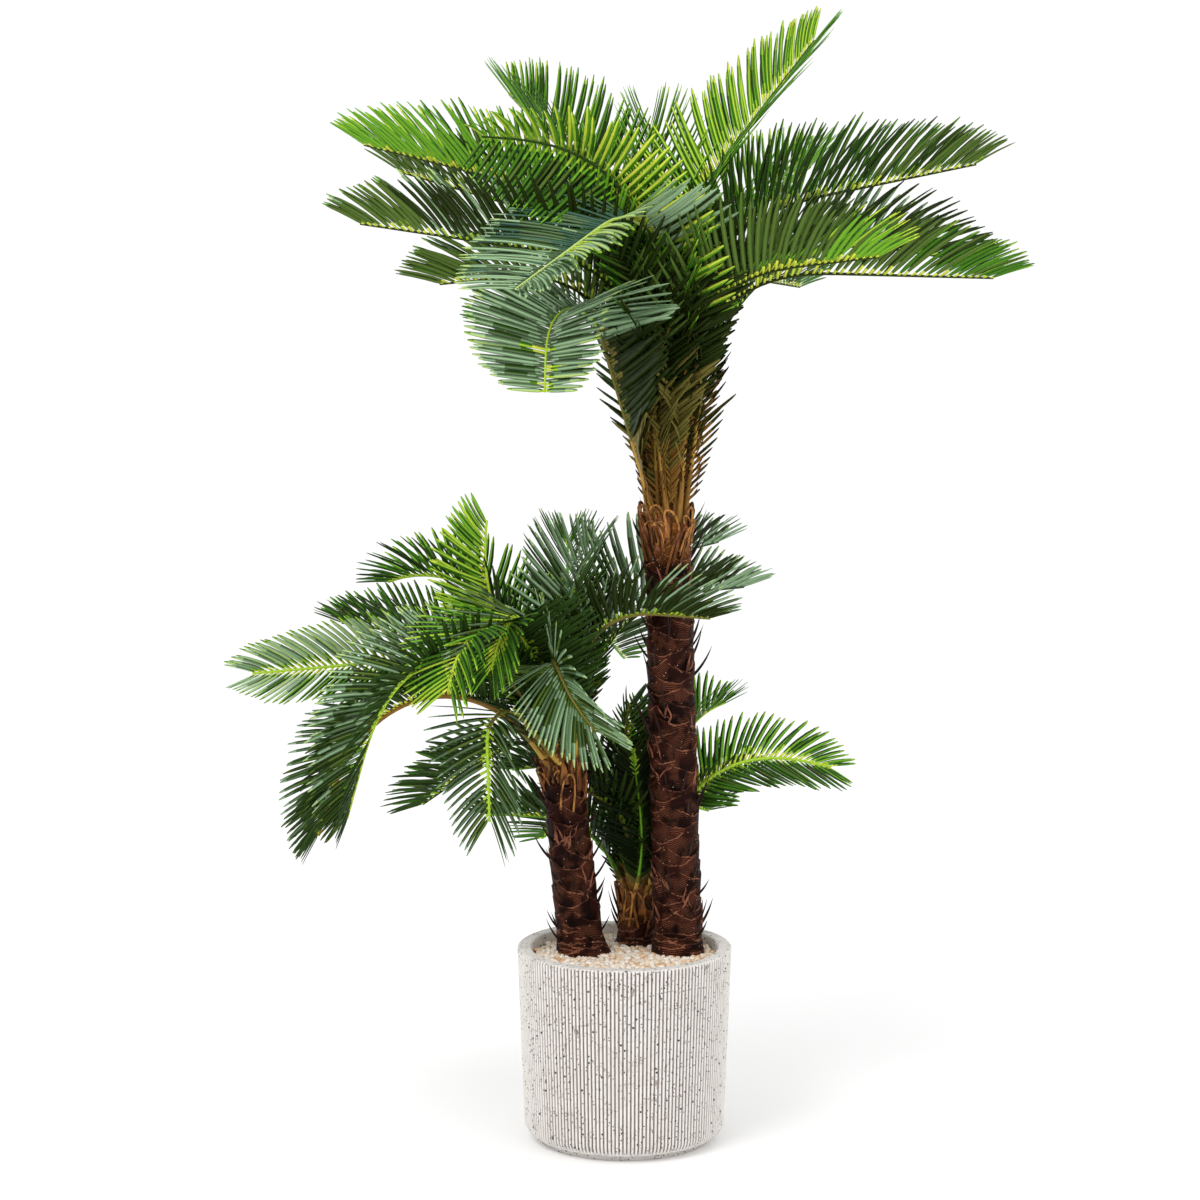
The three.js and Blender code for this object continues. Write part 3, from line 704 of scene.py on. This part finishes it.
PETIOLE = (0.0125, 0.0115)  # width and thickness of a rib at its foot
RIB_TIP = (0.005, 0.005)
RIB_SUNK = 0.012  # into the head of the stem
RIB_SHEATH = 0.0075  # extra half width of a rib's foot
RIB_SHEATH_HEIGHT = 0.035
RIB_SIDES = 8
RIB_STEPS = 44
RIB_LIME_FROM = 0.6  # share of the rib where its second tone begins
COURSE_STEPS = 120
ROLL_END = 0.5  # share of the rib where a roll is complete
OUTER = (0.5, 0.7)  # shares between which a frond's own sweep and bow set in
LEAF_FOOT = 0.03  # share of the rib where leaflets begin
FIRST_LEAF = 0.2  # length of the first leaflet, as a share of the longest
FULL_LEAF_FROM = 0.42  # share of the rib from which leaflets are full grown
LEAF_TAPER = 8  # how late they get shorter again
SWEEP_LATE = 3.5  # how late they close up to the rib
STALK_SWEEP = 48  # of the first leaflets, at the foot of the stalk
STALK_KEEL = 95
STALK_END = 0.4  # where leaflets no longer take after those
LEAF_HALF = 0.0058
LEAF_RIDGE = 0.0007
LEAF_FOLD = 0.24  # drop of a leaflet's edges, over its half width
LEAF_SAG = 0.05  # of its tip, over its length
LEAF_TWIST = 0.16
LEAF_ROWS = np.array([0, 0.09, 0.22, 0.42, 0.66, 0.88, 0.98])  # shares of its length, at its rings
LEAF_ROOT = 0.3  # how far its root is off the rib's middle, over the rib's width
WIDTH_POWER = 0.35  # of its length, by which its width grows
STEM_CLEAR = 0.006  # between leaflets and the side of a stem, below its top
STEM_TOP_CLEAR = 0.004
LIME_FROM = 0.4  # share of the rib from which leaflets have a lime root
INNER_TO = 0.56  # to which those of an inner frond take the shaded tones, painted shade
# Full-grown leaflets have this length, spacing along the rib and keel, which is their angle off
# the rib's upright. Zones of thorny, golden and shaded leaflets end at these shares of the rib.
# The shaded zone's dark olive tones are painted shade, deep in the crown.
CROWNS = {
    "tall": {"leaf": 0.25, "spacing": 0.016, "keel": 34, "zones": (0.12, 0.25, 0.36)},
    "short": {"leaf": 0.18, "spacing": 0.0138, "keel": 42, "zones": (0.05, 0.11, 0.2)},
    "small": {"leaf": 0.155, "spacing": 0.012, "keel": 46, "zones": (0.04, 0.1, 0.16)},
}
TONES = {
    "gold": 0xBE9848, "amber": 0x966E34, "thorn": 0x1E140C, "olive": 0x766E34, "shade": 0x28360F,
    "dusk": 0x121C0A, "deep": 0x304A1A, "moss": 0x56702E, "leaf": 0x467A1E, "fresh": 0x70AC2C,
    "lime": 0xAACE3C, "yellow": 0xDCE650, "grey": 0x5E7654, "blue": 0x466858, "mist": 0x94B48A,
    "pale": 0xB8D07A, "brown": 0x4A3220,
}
TONE_NUMBER = {tone: number for number, tone in enumerate(TONES)}
# The tone of the darker half of a leaflet, painted shade on one side of its fold, by that of the lighter.
SHADED_HALF_TONES = {
    "gold": "amber", "amber": "brown", "thorn": "thorn", "olive": "shade", "shade": "dusk",
    "dusk": "dusk", "deep": "shade", "moss": "shade", "leaf": "deep", "fresh": "deep",
    "lime": "leaf", "yellow": "fresh", "grey": "deep", "blue": "deep", "mist": "grey",
    "pale": "mist", "brown": "thorn",
}
# Tones of a leaflet: at its root, just past it, three for its body, of which chance takes one,
# above that, at its tip and underneath, partly its own darker underside, partly painted shade.
SHADES = {
    "thorny": "gold gold gold amber gold amber thorn amber",
    "golden": "gold gold olive gold gold olive amber olive",
    "shaded": "olive olive shade olive moss olive shade shade",
    "lemon": "yellow yellow yellow lime yellow yellow yellow lime",
    "sunny": "yellow lime lime lime fresh lime yellow fresh",
    "bright": "yellow lime fresh leaf fresh fresh lime leaf",
    "limed": "yellow lime moss moss leaf moss fresh moss",
    "green": "lime fresh leaf moss leaf leaf fresh deep",
    "dark": "yellow fresh deep moss deep deep moss deep",
    "shady": "shade deep shade deep shade shade grey dusk",
    "grey": "lime moss grey grey moss grey mist shade",
    "blue": "lime grey blue blue grey blue grey shade",
    "faded": "moss mist mist moss grey mist pale moss",
    "steel": "blue blue blue grey grey blue mist shade",
    "misty": "grey mist mist grey mist mist pale mist",
    "pale": "yellow lime pale mist pale pale lime mist",
}
# A frond's row has these values in this order: the rise is of the rib at its foot and the fall at
# its tip, in degrees; the bend and its spread are shares of the rib; the length counts the last
# leaflets in; the shades are of the left, right and last leaflets, with "inner" where the inner
# ones take the shaded tones, painted shade; and the rib has one tone, or a second one further out.
FROND = ("azimuth", "rise", "fall", "bend", "spread", "length", "shades", "rib_tones")
# The row ends with what the frond has of its own, which may be a keel or any of these. The values
# are those of a frond that has none.
OWN = {
    "turn": 0,  # degrees sideways from foot to tip
    "roll": 0,  # degrees about the rib, left side down
    "last": 0.42,  # length of the last leaflet, as a share of the longest
    "sweep": (70, 30),  # degrees between rib and leaflet, of a full-grown one and of the last
    "bow": 0.09,  # how far a leaflet's tip bends forwards, over its length
    "pitch": 1,  # factor on the spacing of the leaflets
    "wide": 1,  # on their width
    "stout": 1,  # on the rib's width and thickness
    "tip": 0.86,  # share of the rib from which leaflets have the shade of the last
}
# The rings of each crown: their radius on the head, and their fronds.
RINGS = {
    "tall": [
        (0.04, [
            (182, 80, -6, 0.62, 0.5, 0.98, "limed grey limed", "shade", {}),
            (-8, 86, -1, 0.46, 0.5, 1.23, "dark limed bright", "shade", {}),
            (187, 73, -84, 0.72, 0.4, 0.79, "misty misty pale inner", "olive lime",
             {"turn": 72, "keel": 70, "last": 0.34, "sweep": (106, 94), "bow": -0.03,
              "pitch": 0.48, "wide": 1.25, "tip": 0.99}),
            (25, 82, -10, 0.53, 0.75, 1.22, "misty blue grey", "deep", {}),
            (62, 76, -8, 0.54, 0.5, 1.08, "green dark bright", "deep", {}),
            (192, 83, 9, 0.48, 0.45, 1.26, "blue misty limed", "shade", {}),
            (95, 76, -10, 0.52, 0.5, 1.06, "green green bright", "deep", {}),
            (152, 83, 13, 0.52, 0.32, 1.3, "dark grey limed", "shade", {}),
            (130, 78, -15, 0.52, 0.5, 1.0, "green green bright", "deep", {}),
        ]),
        (0.025, [
            (-32, 87, 8, 0.53, 0.58, 1.06, "dark limed sunny", "shade", {}),
            (230, 86, -23, 0.61, 0.27, 1.23, "pale steel misty inner", "moss pale",
             {"roll": 4, "keel": 68, "last": 0.5, "sweep": (75, 56), "bow": 0.14,
              "pitch": 0.52, "wide": 1.1}),
            (8, 88, 11, 0.5, 0.48, 1.365, "green dark limed", "shade", {"keel": 30, "wide": 0.85}),
            (80, 82, 0, 0.48, 0.5, 1.18, "bright bright sunny", "deep", {}),
            (168, 83, 13, 0.54, 0.62, 1.34, "sunny green sunny", "shade", {"tip": 0.78}),
            (115, 83, 15, 0.5, 0.5, 1.2, "sunny bright sunny", "deep", {}),
            (207, 88, 4, 0.71, 0.55, 1.17, "green lemon sunny", "deep",
             {"turn": -22, "roll": 106, "keel": 42, "last": 0.34, "sweep": (86, 60),
              "wide": 1.2, "tip": 1.1}),
        ]),
        (0.011, [
            (36, 89, 45, 0.55, 0.45, 1.325, "sunny sunny sunny", "deep",
             {"keel": 62, "sweep": (58, 28), "pitch": 0.75}),
            (54, 85, 22, 0.5, 0.5, 1.19, "sunny sunny sunny", "deep", {}),
            (126, 86, 30, 0.49, 0.7, 1.32, "bright bright sunny", "blue", {"pitch": 0.75}),
            (95, 87, 38, 0.6, 0.7, 1.11, "sunny sunny sunny", "deep", {}),
            (285, 88, 70, 0.6, 0.6, 0.7, "bright green sunny", "olive", {}),
        ]),
    ],
    "short": [
        (0.037, [
            (222, 46, -92, 0.5, 0.35, 0.6, "grey grey grey", "olive lime",
             {"keel": 80, "last": 0.6, "sweep": (74, 40)}),
            (172, 56, -36, 0.2, 0.4, 0.43, "dark green green", "shade", {}),
            (197, 58, -72, 0.46, 1.0, 0.86, "dark grey dark", "amber", {"stout": 1.7, "pitch": 0.8}),
            (187, 70, -4, 0.32, 0.6, 0.87, "bright pale pale", "lime", {"roll": 70, "tip": 0.8}),
            (110, 74, -15, 0.45, 0.5, 0.7, "grey green bright", "fresh", {}),
            (75, 74, -25, 0.45, 0.5, 0.76, "grey green bright", "fresh", {}),
            (-28, 88, 0, 0.53, 0.62, 0.7, "misty grey grey", "olive", {"stout": 1.3}),
            (22, 84, 2, 0.5, 0.85, 0.735, "misty grey misty", "deep", {}),
        ]),
        (0.023, [
            (213, 66, -72, 0.48, 0.8, 0.96, "green faded dark", "olive lime", {"pitch": 0.8}),
            (163, 70, 6, 0.39, 0.85, 0.72, "green green green", "deep", {}),
            (238, 74, -64, 0.72, 0.5, 0.66, "green grey bright", "olive lime",
             {"keel": 70, "pitch": 0.75}),
            (38, 86, 6, 0.52, 0.95, 0.81, "misty blue misty", "deep", {}),
            (240, 70, -48, 0.57, 0.42, 0.64, "faded faded faded", "olive",
             {"turn": 110, "roll": -60, "keel": 50, "last": 0.5, "sweep": (55, 30), "pitch": 0.7}),
            (128, 78, 0, 0.5, 0.5, 0.66, "green bright sunny", "lime", {}),
            (90, 82, 30, 0.5, 0.5, 0.7, "grey green bright", "fresh", {}),
        ]),
        (0.01, [
            (226, 70, -80, 0.7, 0.72, 0.72, "green bright sunny", "lime",
             {"keel": 75, "last": 0.5, "sweep": (72, 50), "pitch": 0.75}),
            (157, 70, -36, 0.74, 0.95, 0.755, "green bright bright", "lime", {}),
            (180, 68, 97, 0.78, 0.55, 0.66, "sunny lemon sunny", "lime",
             {"keel": 145, "sweep": (66, 42)}),
            (66, 88, 28, 0.7, 0.45, 0.64, "misty grey misty", "grey", {}),
        ]),
    ],
    "small": [
        (0.028, [
            (173, 65, 0, 0.44, 0.7, 0.47, "dark green green", "fresh", {}),
            (3, 68, -14, 0.58, 0.8, 0.67, "bright green bright", "lime", {"roll": -35, "keel": 80}),
            (130, 68, -30, 0.45, 0.5, 0.48, "green green bright", "fresh", {}),
            (60, 70, -18, 0.45, 0.5, 0.5, "green green bright", "fresh", {}),
            (-60, 70, 104, 0.35, 0.7, 0.4, "shady shady grey", "fresh",
             {"keel": 88, "sweep": (60, 40), "pitch": 0.42, "wide": 0.6, "stout": 0.5}),
            (22, 76, 6, 0.55, 1.1, 0.455, "green green bright", "fresh", {}),
            (95, 72, -10, 0.5, 0.5, 0.5, "green green bright", "fresh", {}),
        ]),
        (0.012, [
            (158, 74, -10, 0.6, 0.5, 0.55, "dark green green", "fresh", {}),
            (186, 82, 25, 0.5, 0.5, 0.45, "blue grey grey", "olive", {}),
            (38, 72, 4, 0.8, 0.6, 0.58, "green bright bright", "lime", {}),
            (124, 76, 98, 0.5, 0.5, 0.505, "grey dark grey", "olive", {}),
            (80, 84, 50, 0.5, 0.5, 0.48, "green bright bright", "fresh", {}),
        ]),
    ],
}


def leaf_finish(name, colour):
    """Leathery leaf, in one colour, a little glossy, with a fine uneven skin."""
    finish = new_finish(name, colour, 0.45, 0.08)
    grain = noise(finish, object_place(finish), 140.0, 2.0)
    return dress(finish, (grain, 0.3, 0.7, 0.42, 0.62), (grain, 0.0006, 0.3))


def fronds(stem_name):
    """Each frond of a crown, with all its values and its foot. Within a ring, the rows go by
    azimuth, and their feet are evenly spaced round the head of the stem at the mean of their
    azimuths."""
    stem = STEMS[stem_name]
    found = []
    for seat, rows in RINGS[stem_name]:
        rows = sorted(rows)
        even = 360 / len(rows)
        start = np.mean([row[0] - k * even for k, row in enumerate(rows)])
        for k, (*row, own) in enumerate(rows):
            place = np.radians(start + k * even)
            foot = np.array([
                stem["head"][0] + seat * np.cos(place),
                stem["head"][1] + seat * np.sin(place),
                stem["top"] + 0.0003,
            ])
            found.append({**CROWNS[stem_name], **OWN, **dict(zip(FROND, row)), **own, "foot": foot})
    return found


def rib_frames(frond, share):
    """Direction, left side and upright of a rib at shares of its length. The rise goes from its
    foot value to its tip value by a soft ramp round the bend; the heading turns with the share
    squared; the upright is the direction crossed with the side. A roll then turns both about the
    direction, left side down."""
    bent = ease((share - frond["bend"]) / frond["spread"] + 0.5)
    heading = np.radians(frond["azimuth"] + frond["turn"] * share**2)
    along = pointing(heading, np.radians(mix(frond["rise"], frond["fall"], bent)))
    level = pointing(heading + np.pi / 2, 0)
    roll = np.radians(frond["roll"]) * ease(share / ROLL_END)[:, None]
    return along, *turned(level, np.cross(along, level), roll)


def rib_length(frond):
    """Length of a rib: that of the frond less what the last leaflets reach past the rib's end."""
    last_leaf = frond["leaf"] * frond["last"]
    return frond["length"] - last_leaf * np.cos(np.radians(frond["sweep"][1]))


def rib_course(frond, share):
    """Points at shares of a rib: its direction is summed from the foot in even steps, and points
    between them are interpolated. A share below 0 lies straight under the foot."""
    along = rib_frames(frond, (np.arange(COURSE_STEPS) + 0.5) / COURSE_STEPS)[0]
    length = rib_length(frond)
    summed = np.concatenate([np.zeros((1, 3)), np.cumsum(along, axis=0)])
    points = frond["foot"] + summed * length / COURSE_STEPS
    stops = np.linspace(0, 1, COURSE_STEPS + 1)
    course = np.stack([np.interp(share, stops, line) for line in points.T], axis=-1)
    return course + np.minimum(0, share)[:, None] * length * along[0]


def rib_rings(frond):
    """Rings of a rib, with their shares of its length: ovals across its course, tapering to the
    tip and widened to a sheath at the foot, from where the rib sinks into the stem."""
    length = rib_length(frond)
    share = np.concatenate([[-RIB_SUNK / length], np.linspace(0, 1, RIB_STEPS) ** 1.25])
    _, side, upright = rib_frames(frond, share)
    sheath = RIB_SHEATH * np.exp(-np.maximum(0, share) * length / RIB_SHEATH_HEIGHT)
    stout = frond["stout"] / 2
    half = mix(PETIOLE[0], RIB_TIP[0], share) * stout + sheath
    thick = mix(PETIOLE[1], RIB_TIP[1], share) * stout + 0.4 * sheath
    half, thick = (half[:, None] * side)[:, None], (thick[:, None] * upright)[:, None]
    turn = np.arange(RIB_SIDES)[:, None] * 2 * np.pi / RIB_SIDES
    ring = np.cos(turn) * half + np.sin(turn) * thick
    return rib_course(frond, share)[:, None] + ring, share


def leaf_growth(frond, rng):
    """How the leaflets of a frond grow: the share of the rib at each, its side (1 on the left, -1
    on the right), its length, its sweep off the rib and keel off the rib's upright in radians,
    and its bow. They go from those of the stalk to those of a full-grown leaflet by soft ramps,
    and to those of the last by high powers of the share, each with a little chance."""
    count = round(rib_length(frond) * (1 - LEAF_FOOT) / (frond["spacing"] * frond["pitch"]))
    even = LEAF_FOOT + (1 - LEAF_FOOT) * (np.arange(count) + 0.5) / count
    share = np.concatenate([even, even]) + rng.uniform(-0.12, 0.12, 2 * count) / count
    share = np.clip(share, LEAF_FOOT, 1)
    sign = np.repeat([1.0, -1.0], count)
    rising = mix(FIRST_LEAF, 1, ease(share / FULL_LEAF_FROM))
    closing = mix(1, frond["last"], share**LEAF_TAPER)
    length = frond["leaf"] * rising * closing * rng.uniform(0.92, 1.04, 2 * count)
    outer = ease((share - OUTER[0]) / (OUTER[1] - OUTER[0]))
    full_sweep, last_sweep = frond["sweep"]
    sweep = mix(mix(OWN["sweep"][0], full_sweep, outer), last_sweep, share**SWEEP_LATE)
    bow = mix(OWN["bow"], frond["bow"], outer)
    grown = ease(share / STALK_END)
    sweep = mix(STALK_SWEEP, sweep, grown) + rng.normal(0, 1.5, 2 * count)
    keel = mix(STALK_KEEL, frond["keel"], grown) + rng.normal(0, 2.5, 2 * count)
    return share, sign, length, np.radians(sweep), np.radians(keel), bow


def square_to(a, b):
    """The direction nearest to a that is square to the unit vector b: a less what lies along b."""
    return unit(a - b * (a * b).sum(axis=-1, keepdims=True))


def clear_of_stems(centre):
    """Whether every point of each middle line, centre[leaflet, row, xyz], stays clear of stems."""
    clear = np.ones(len(centre), dtype=bool)
    for stem in STEMS.values():
        share = (centre[..., 2] - TRUNK_FOOT) / (stem["top"] - TRUNK_FOOT)
        axis = mix(np.array(stem["foot"]), np.array(stem["head"]), share[..., None])
        near = np.linalg.norm(centre[..., :2] - axis, axis=-1) < stem["radii"][0] + STEM_CLEAR
        clear &= ~(near & (centre[..., 2] < stem["top"] - STEM_TOP_CLEAR)).any(axis=1)
    return clear


def leaflets(frond, rng):
    """Rings of a frond's leaflets, with the share of the rib that each grows at and its side. A
    leaflet's middle line is its root plus its length by (u d + u squared b), where u runs from 0
    to 1, d points sideways, raised by the keel and swept forwards, and b bends it forwards and
    down. Its section is a low roof with a little twist: two edges, a ridge above and a hollow
    below. Those that would touch a stem are left out."""
    share, sign, length, sweep, keel, bow = leaf_growth(frond, rng)
    along, side, upright = rib_frames(frond, share)
    outwards = (sign * np.sin(keel))[:, None] * side + np.cos(keel)[:, None] * upright
    direction = np.sin(sweep)[:, None] * outwards + np.cos(sweep)[:, None] * along
    set_off = (sign * mix(PETIOLE[0], RIB_TIP[0], share) * LEAF_ROOT)[:, None]
    root = rib_course(frond, share) + side * set_off
    u = (LEAF_ROWS ** rng.uniform(0.75, 1.35, (len(share), 1)))[..., None]
    forwards = square_to(along, direction)
    bend = bow[:, None] * forwards + np.array([0, 0, -LEAF_SAG])
    run = u * direction[:, None] + u**2 * bend[:, None]
    centre = root[:, None] + length[:, None, None] * run
    heading = unit(direction[:, None] + 2 * u * bend[:, None])
    across = -sign[:, None, None] * square_to(forwards[:, None], heading)
    twist = rng.normal(0, LEAF_TWIST, len(share))[:, None, None]
    across, face = turned(across, np.cross(heading, across), -twist)
    outline = (0.5 + 0.5 * ease(LEAF_ROWS / 0.3)) * (1 - LEAF_ROWS**5) ** 0.6
    widest = LEAF_HALF * frond["wide"] * (length / frond["leaf"]) ** WIDTH_POWER
    half = widest[:, None, None] * outline[None, :, None]
    ridge = LEAF_RIDGE * (1 - 0.7 * u)
    drop = LEAF_FOLD * half
    rings = np.stack([
        centre + half * across - drop * face,
        centre + ridge * face,
        centre - half * across - drop * face,
        centre - (0.4 * ridge + 0.35 * drop) * face,
    ], axis=2)
    clear = clear_of_stems(centre)
    return rings[clear], share[clear], sign[clear]


def deal_tones(frond, share, sign, rng):
    """The number of the tone that each face of each leaflet takes: by zone on the stalk, then by
    side, and towards the frond's tip by the shade of the last leaflets. The half of a leaflet
    that lies forwards is lighter; the other half is darker as painted shade, and the faces
    underneath are partly the leaflet's own darker underside, partly painted shade."""
    left, right, last, *inner = frond["shades"].split()
    thorns, golden, shaded = frond["zones"]
    dithered = share + rng.normal(0, 0.02, len(share))
    at_tip = dithered + rng.normal(0, 0.06, len(share)) > frond["tip"]
    names = np.select(
        [dithered < thorns, dithered < golden, dithered < (INNER_TO if inner else shaded), at_tip],
        ["thorny", "golden", "shaded", last],
        np.where(sign > 0, left, right),
    )
    chance = rng.integers(0, 3, len(share))
    limed = (dithered < golden) | (dithered > LIME_FROM)
    darker = np.array([TONE_NUMBER[SHADED_HALF_TONES[tone]] for tone in TONES])
    dealt = np.zeros((len(share), len(LEAF_ROWS) - 1, 4), dtype=int)
    for shade, tones in SHADES.items():
        root, past, *bodies, upper, tip, under = (TONE_NUMBER[tone] for tone in tones.split())
        body = np.array(bodies)[chance]
        root, past = (np.where(limed, tone, body) for tone in (root, past))
        upper, tip, under = (np.full_like(body, tone) for tone in (upper, tip, under))
        light = np.stack([root, past, body, body, upper, tip], axis=-1)
        below = np.stack([root] + 5 * [under], axis=-1)
        # The darker half is painted shade: each tone past the root steps down to its darker one.
        dark = np.concatenate([light[:, :1], darker[light[:, 1:]]], axis=1)
        first, second = np.where(sign[:, None] > 0, [dark, light], [light, dark])
        columns = np.stack([first, second, below, below], axis=-1)
        dealt = np.where((names == shade)[:, None, None], columns, dealt)
    return dealt


def rib_tones(frond, share):
    """The number of the tone of each ring of a rib: by zone on the stalk, then its own one or two."""
    tones = ("amber", "gold", "olive", *frond["rib_tones"].split())
    zone = np.searchsorted((*frond["zones"], RIB_LIME_FROM), share)
    return np.array([TONE_NUMBER[tone] for tone in tones])[np.minimum(zone, len(tones) - 1)]


leaf_finishes = [leaf_finish(f"{tone}_leaf", colour) for tone, colour in TONES.items()]
for stem_name, stem in STEMS.items():
    rng = np.random.default_rng(stem["seed"] + 20)
    ribs, ribs_dealt = [], []
    for number, frond in enumerate(fronds(stem_name), start=1):
        node_name = f"{stem_name}_frond_{number:02d}"
        rib, rib_share = rib_rings(frond)
        ribs.append(rib)
        ribs_dealt.append(rib_tones(frond, rib_share[1:])[:, None])
        blades, share, sign = leaflets(frond, rng)
        dealt = deal_tones(frond, share, sign, rng)
        piece = closed_skins(f"{node_name}_leaflets", blades, leaf_finishes, dealt)
        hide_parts(*[name for name in (node_name, f"{node_name}_end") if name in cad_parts])
    piece = closed_skins(f"{stem_name}_ribs", np.array(ribs), leaf_finishes, np.array(ribs_dealt))


# Floor and light --------------------------------------------------------------------------
# A wide white floor under a soft overhead lamp and a weaker one beside it, with a broad sky of
# pale light all round.

FLOOR_HALF = 600.0
FLOOR_DROP = 0.0005  # under the pot's foot, so that the two don't flicker
SKY_STRENGTH = 1.05
LAMP_TARGET = (0, 0, 1.4)
LAMPS = {  # place, size and power
    "key": ((-2.6, -3.6, 5.2), 2.4, 120),
    "fill": ((3.6, -3.4, 3.2), 2.6, 20),
}

floor_mesh = bpy.data.meshes.new("floor")
floor_corners = np.array([(-1, -1), (1, -1), (1, 1), (-1, 1)]) * FLOOR_HALF
floor_mesh.from_pydata([(x, y, -FLOOR_DROP) for x, y in floor_corners], [], [(0, 1, 2, 3)])
floor_mesh.materials.append(new_finish("floor", 0xFCFCFC, 0.9))
floor = bpy.data.objects.new("floor", floor_mesh)
bpy.context.collection.objects.link(floor)

sky = bpy.data.worlds.new("sky")
sky.use_nodes = True
sky.node_tree.nodes["Background"].inputs["Color"].default_value = (1, 1, 1, 1)
sky.node_tree.nodes["Background"].inputs["Strength"].default_value = SKY_STRENGTH
bpy.context.scene.world = sky
bpy.context.scene.view_settings.view_transform = "Standard"

for lamp_name, (place, size, power) in LAMPS.items():
    lamp_data = bpy.data.lights.new(lamp_name, "AREA")
    lamp_data.size = size
    lamp_data.energy = power
    lamp = bpy.data.objects.new(lamp_name, lamp_data)
    lamp.location = place
    aim = mathutils.Vector(LAMP_TARGET) - lamp.location
    lamp.rotation_euler = aim.to_track_quat("-Z", "Y").to_euler()
    bpy.context.collection.objects.link(lamp)
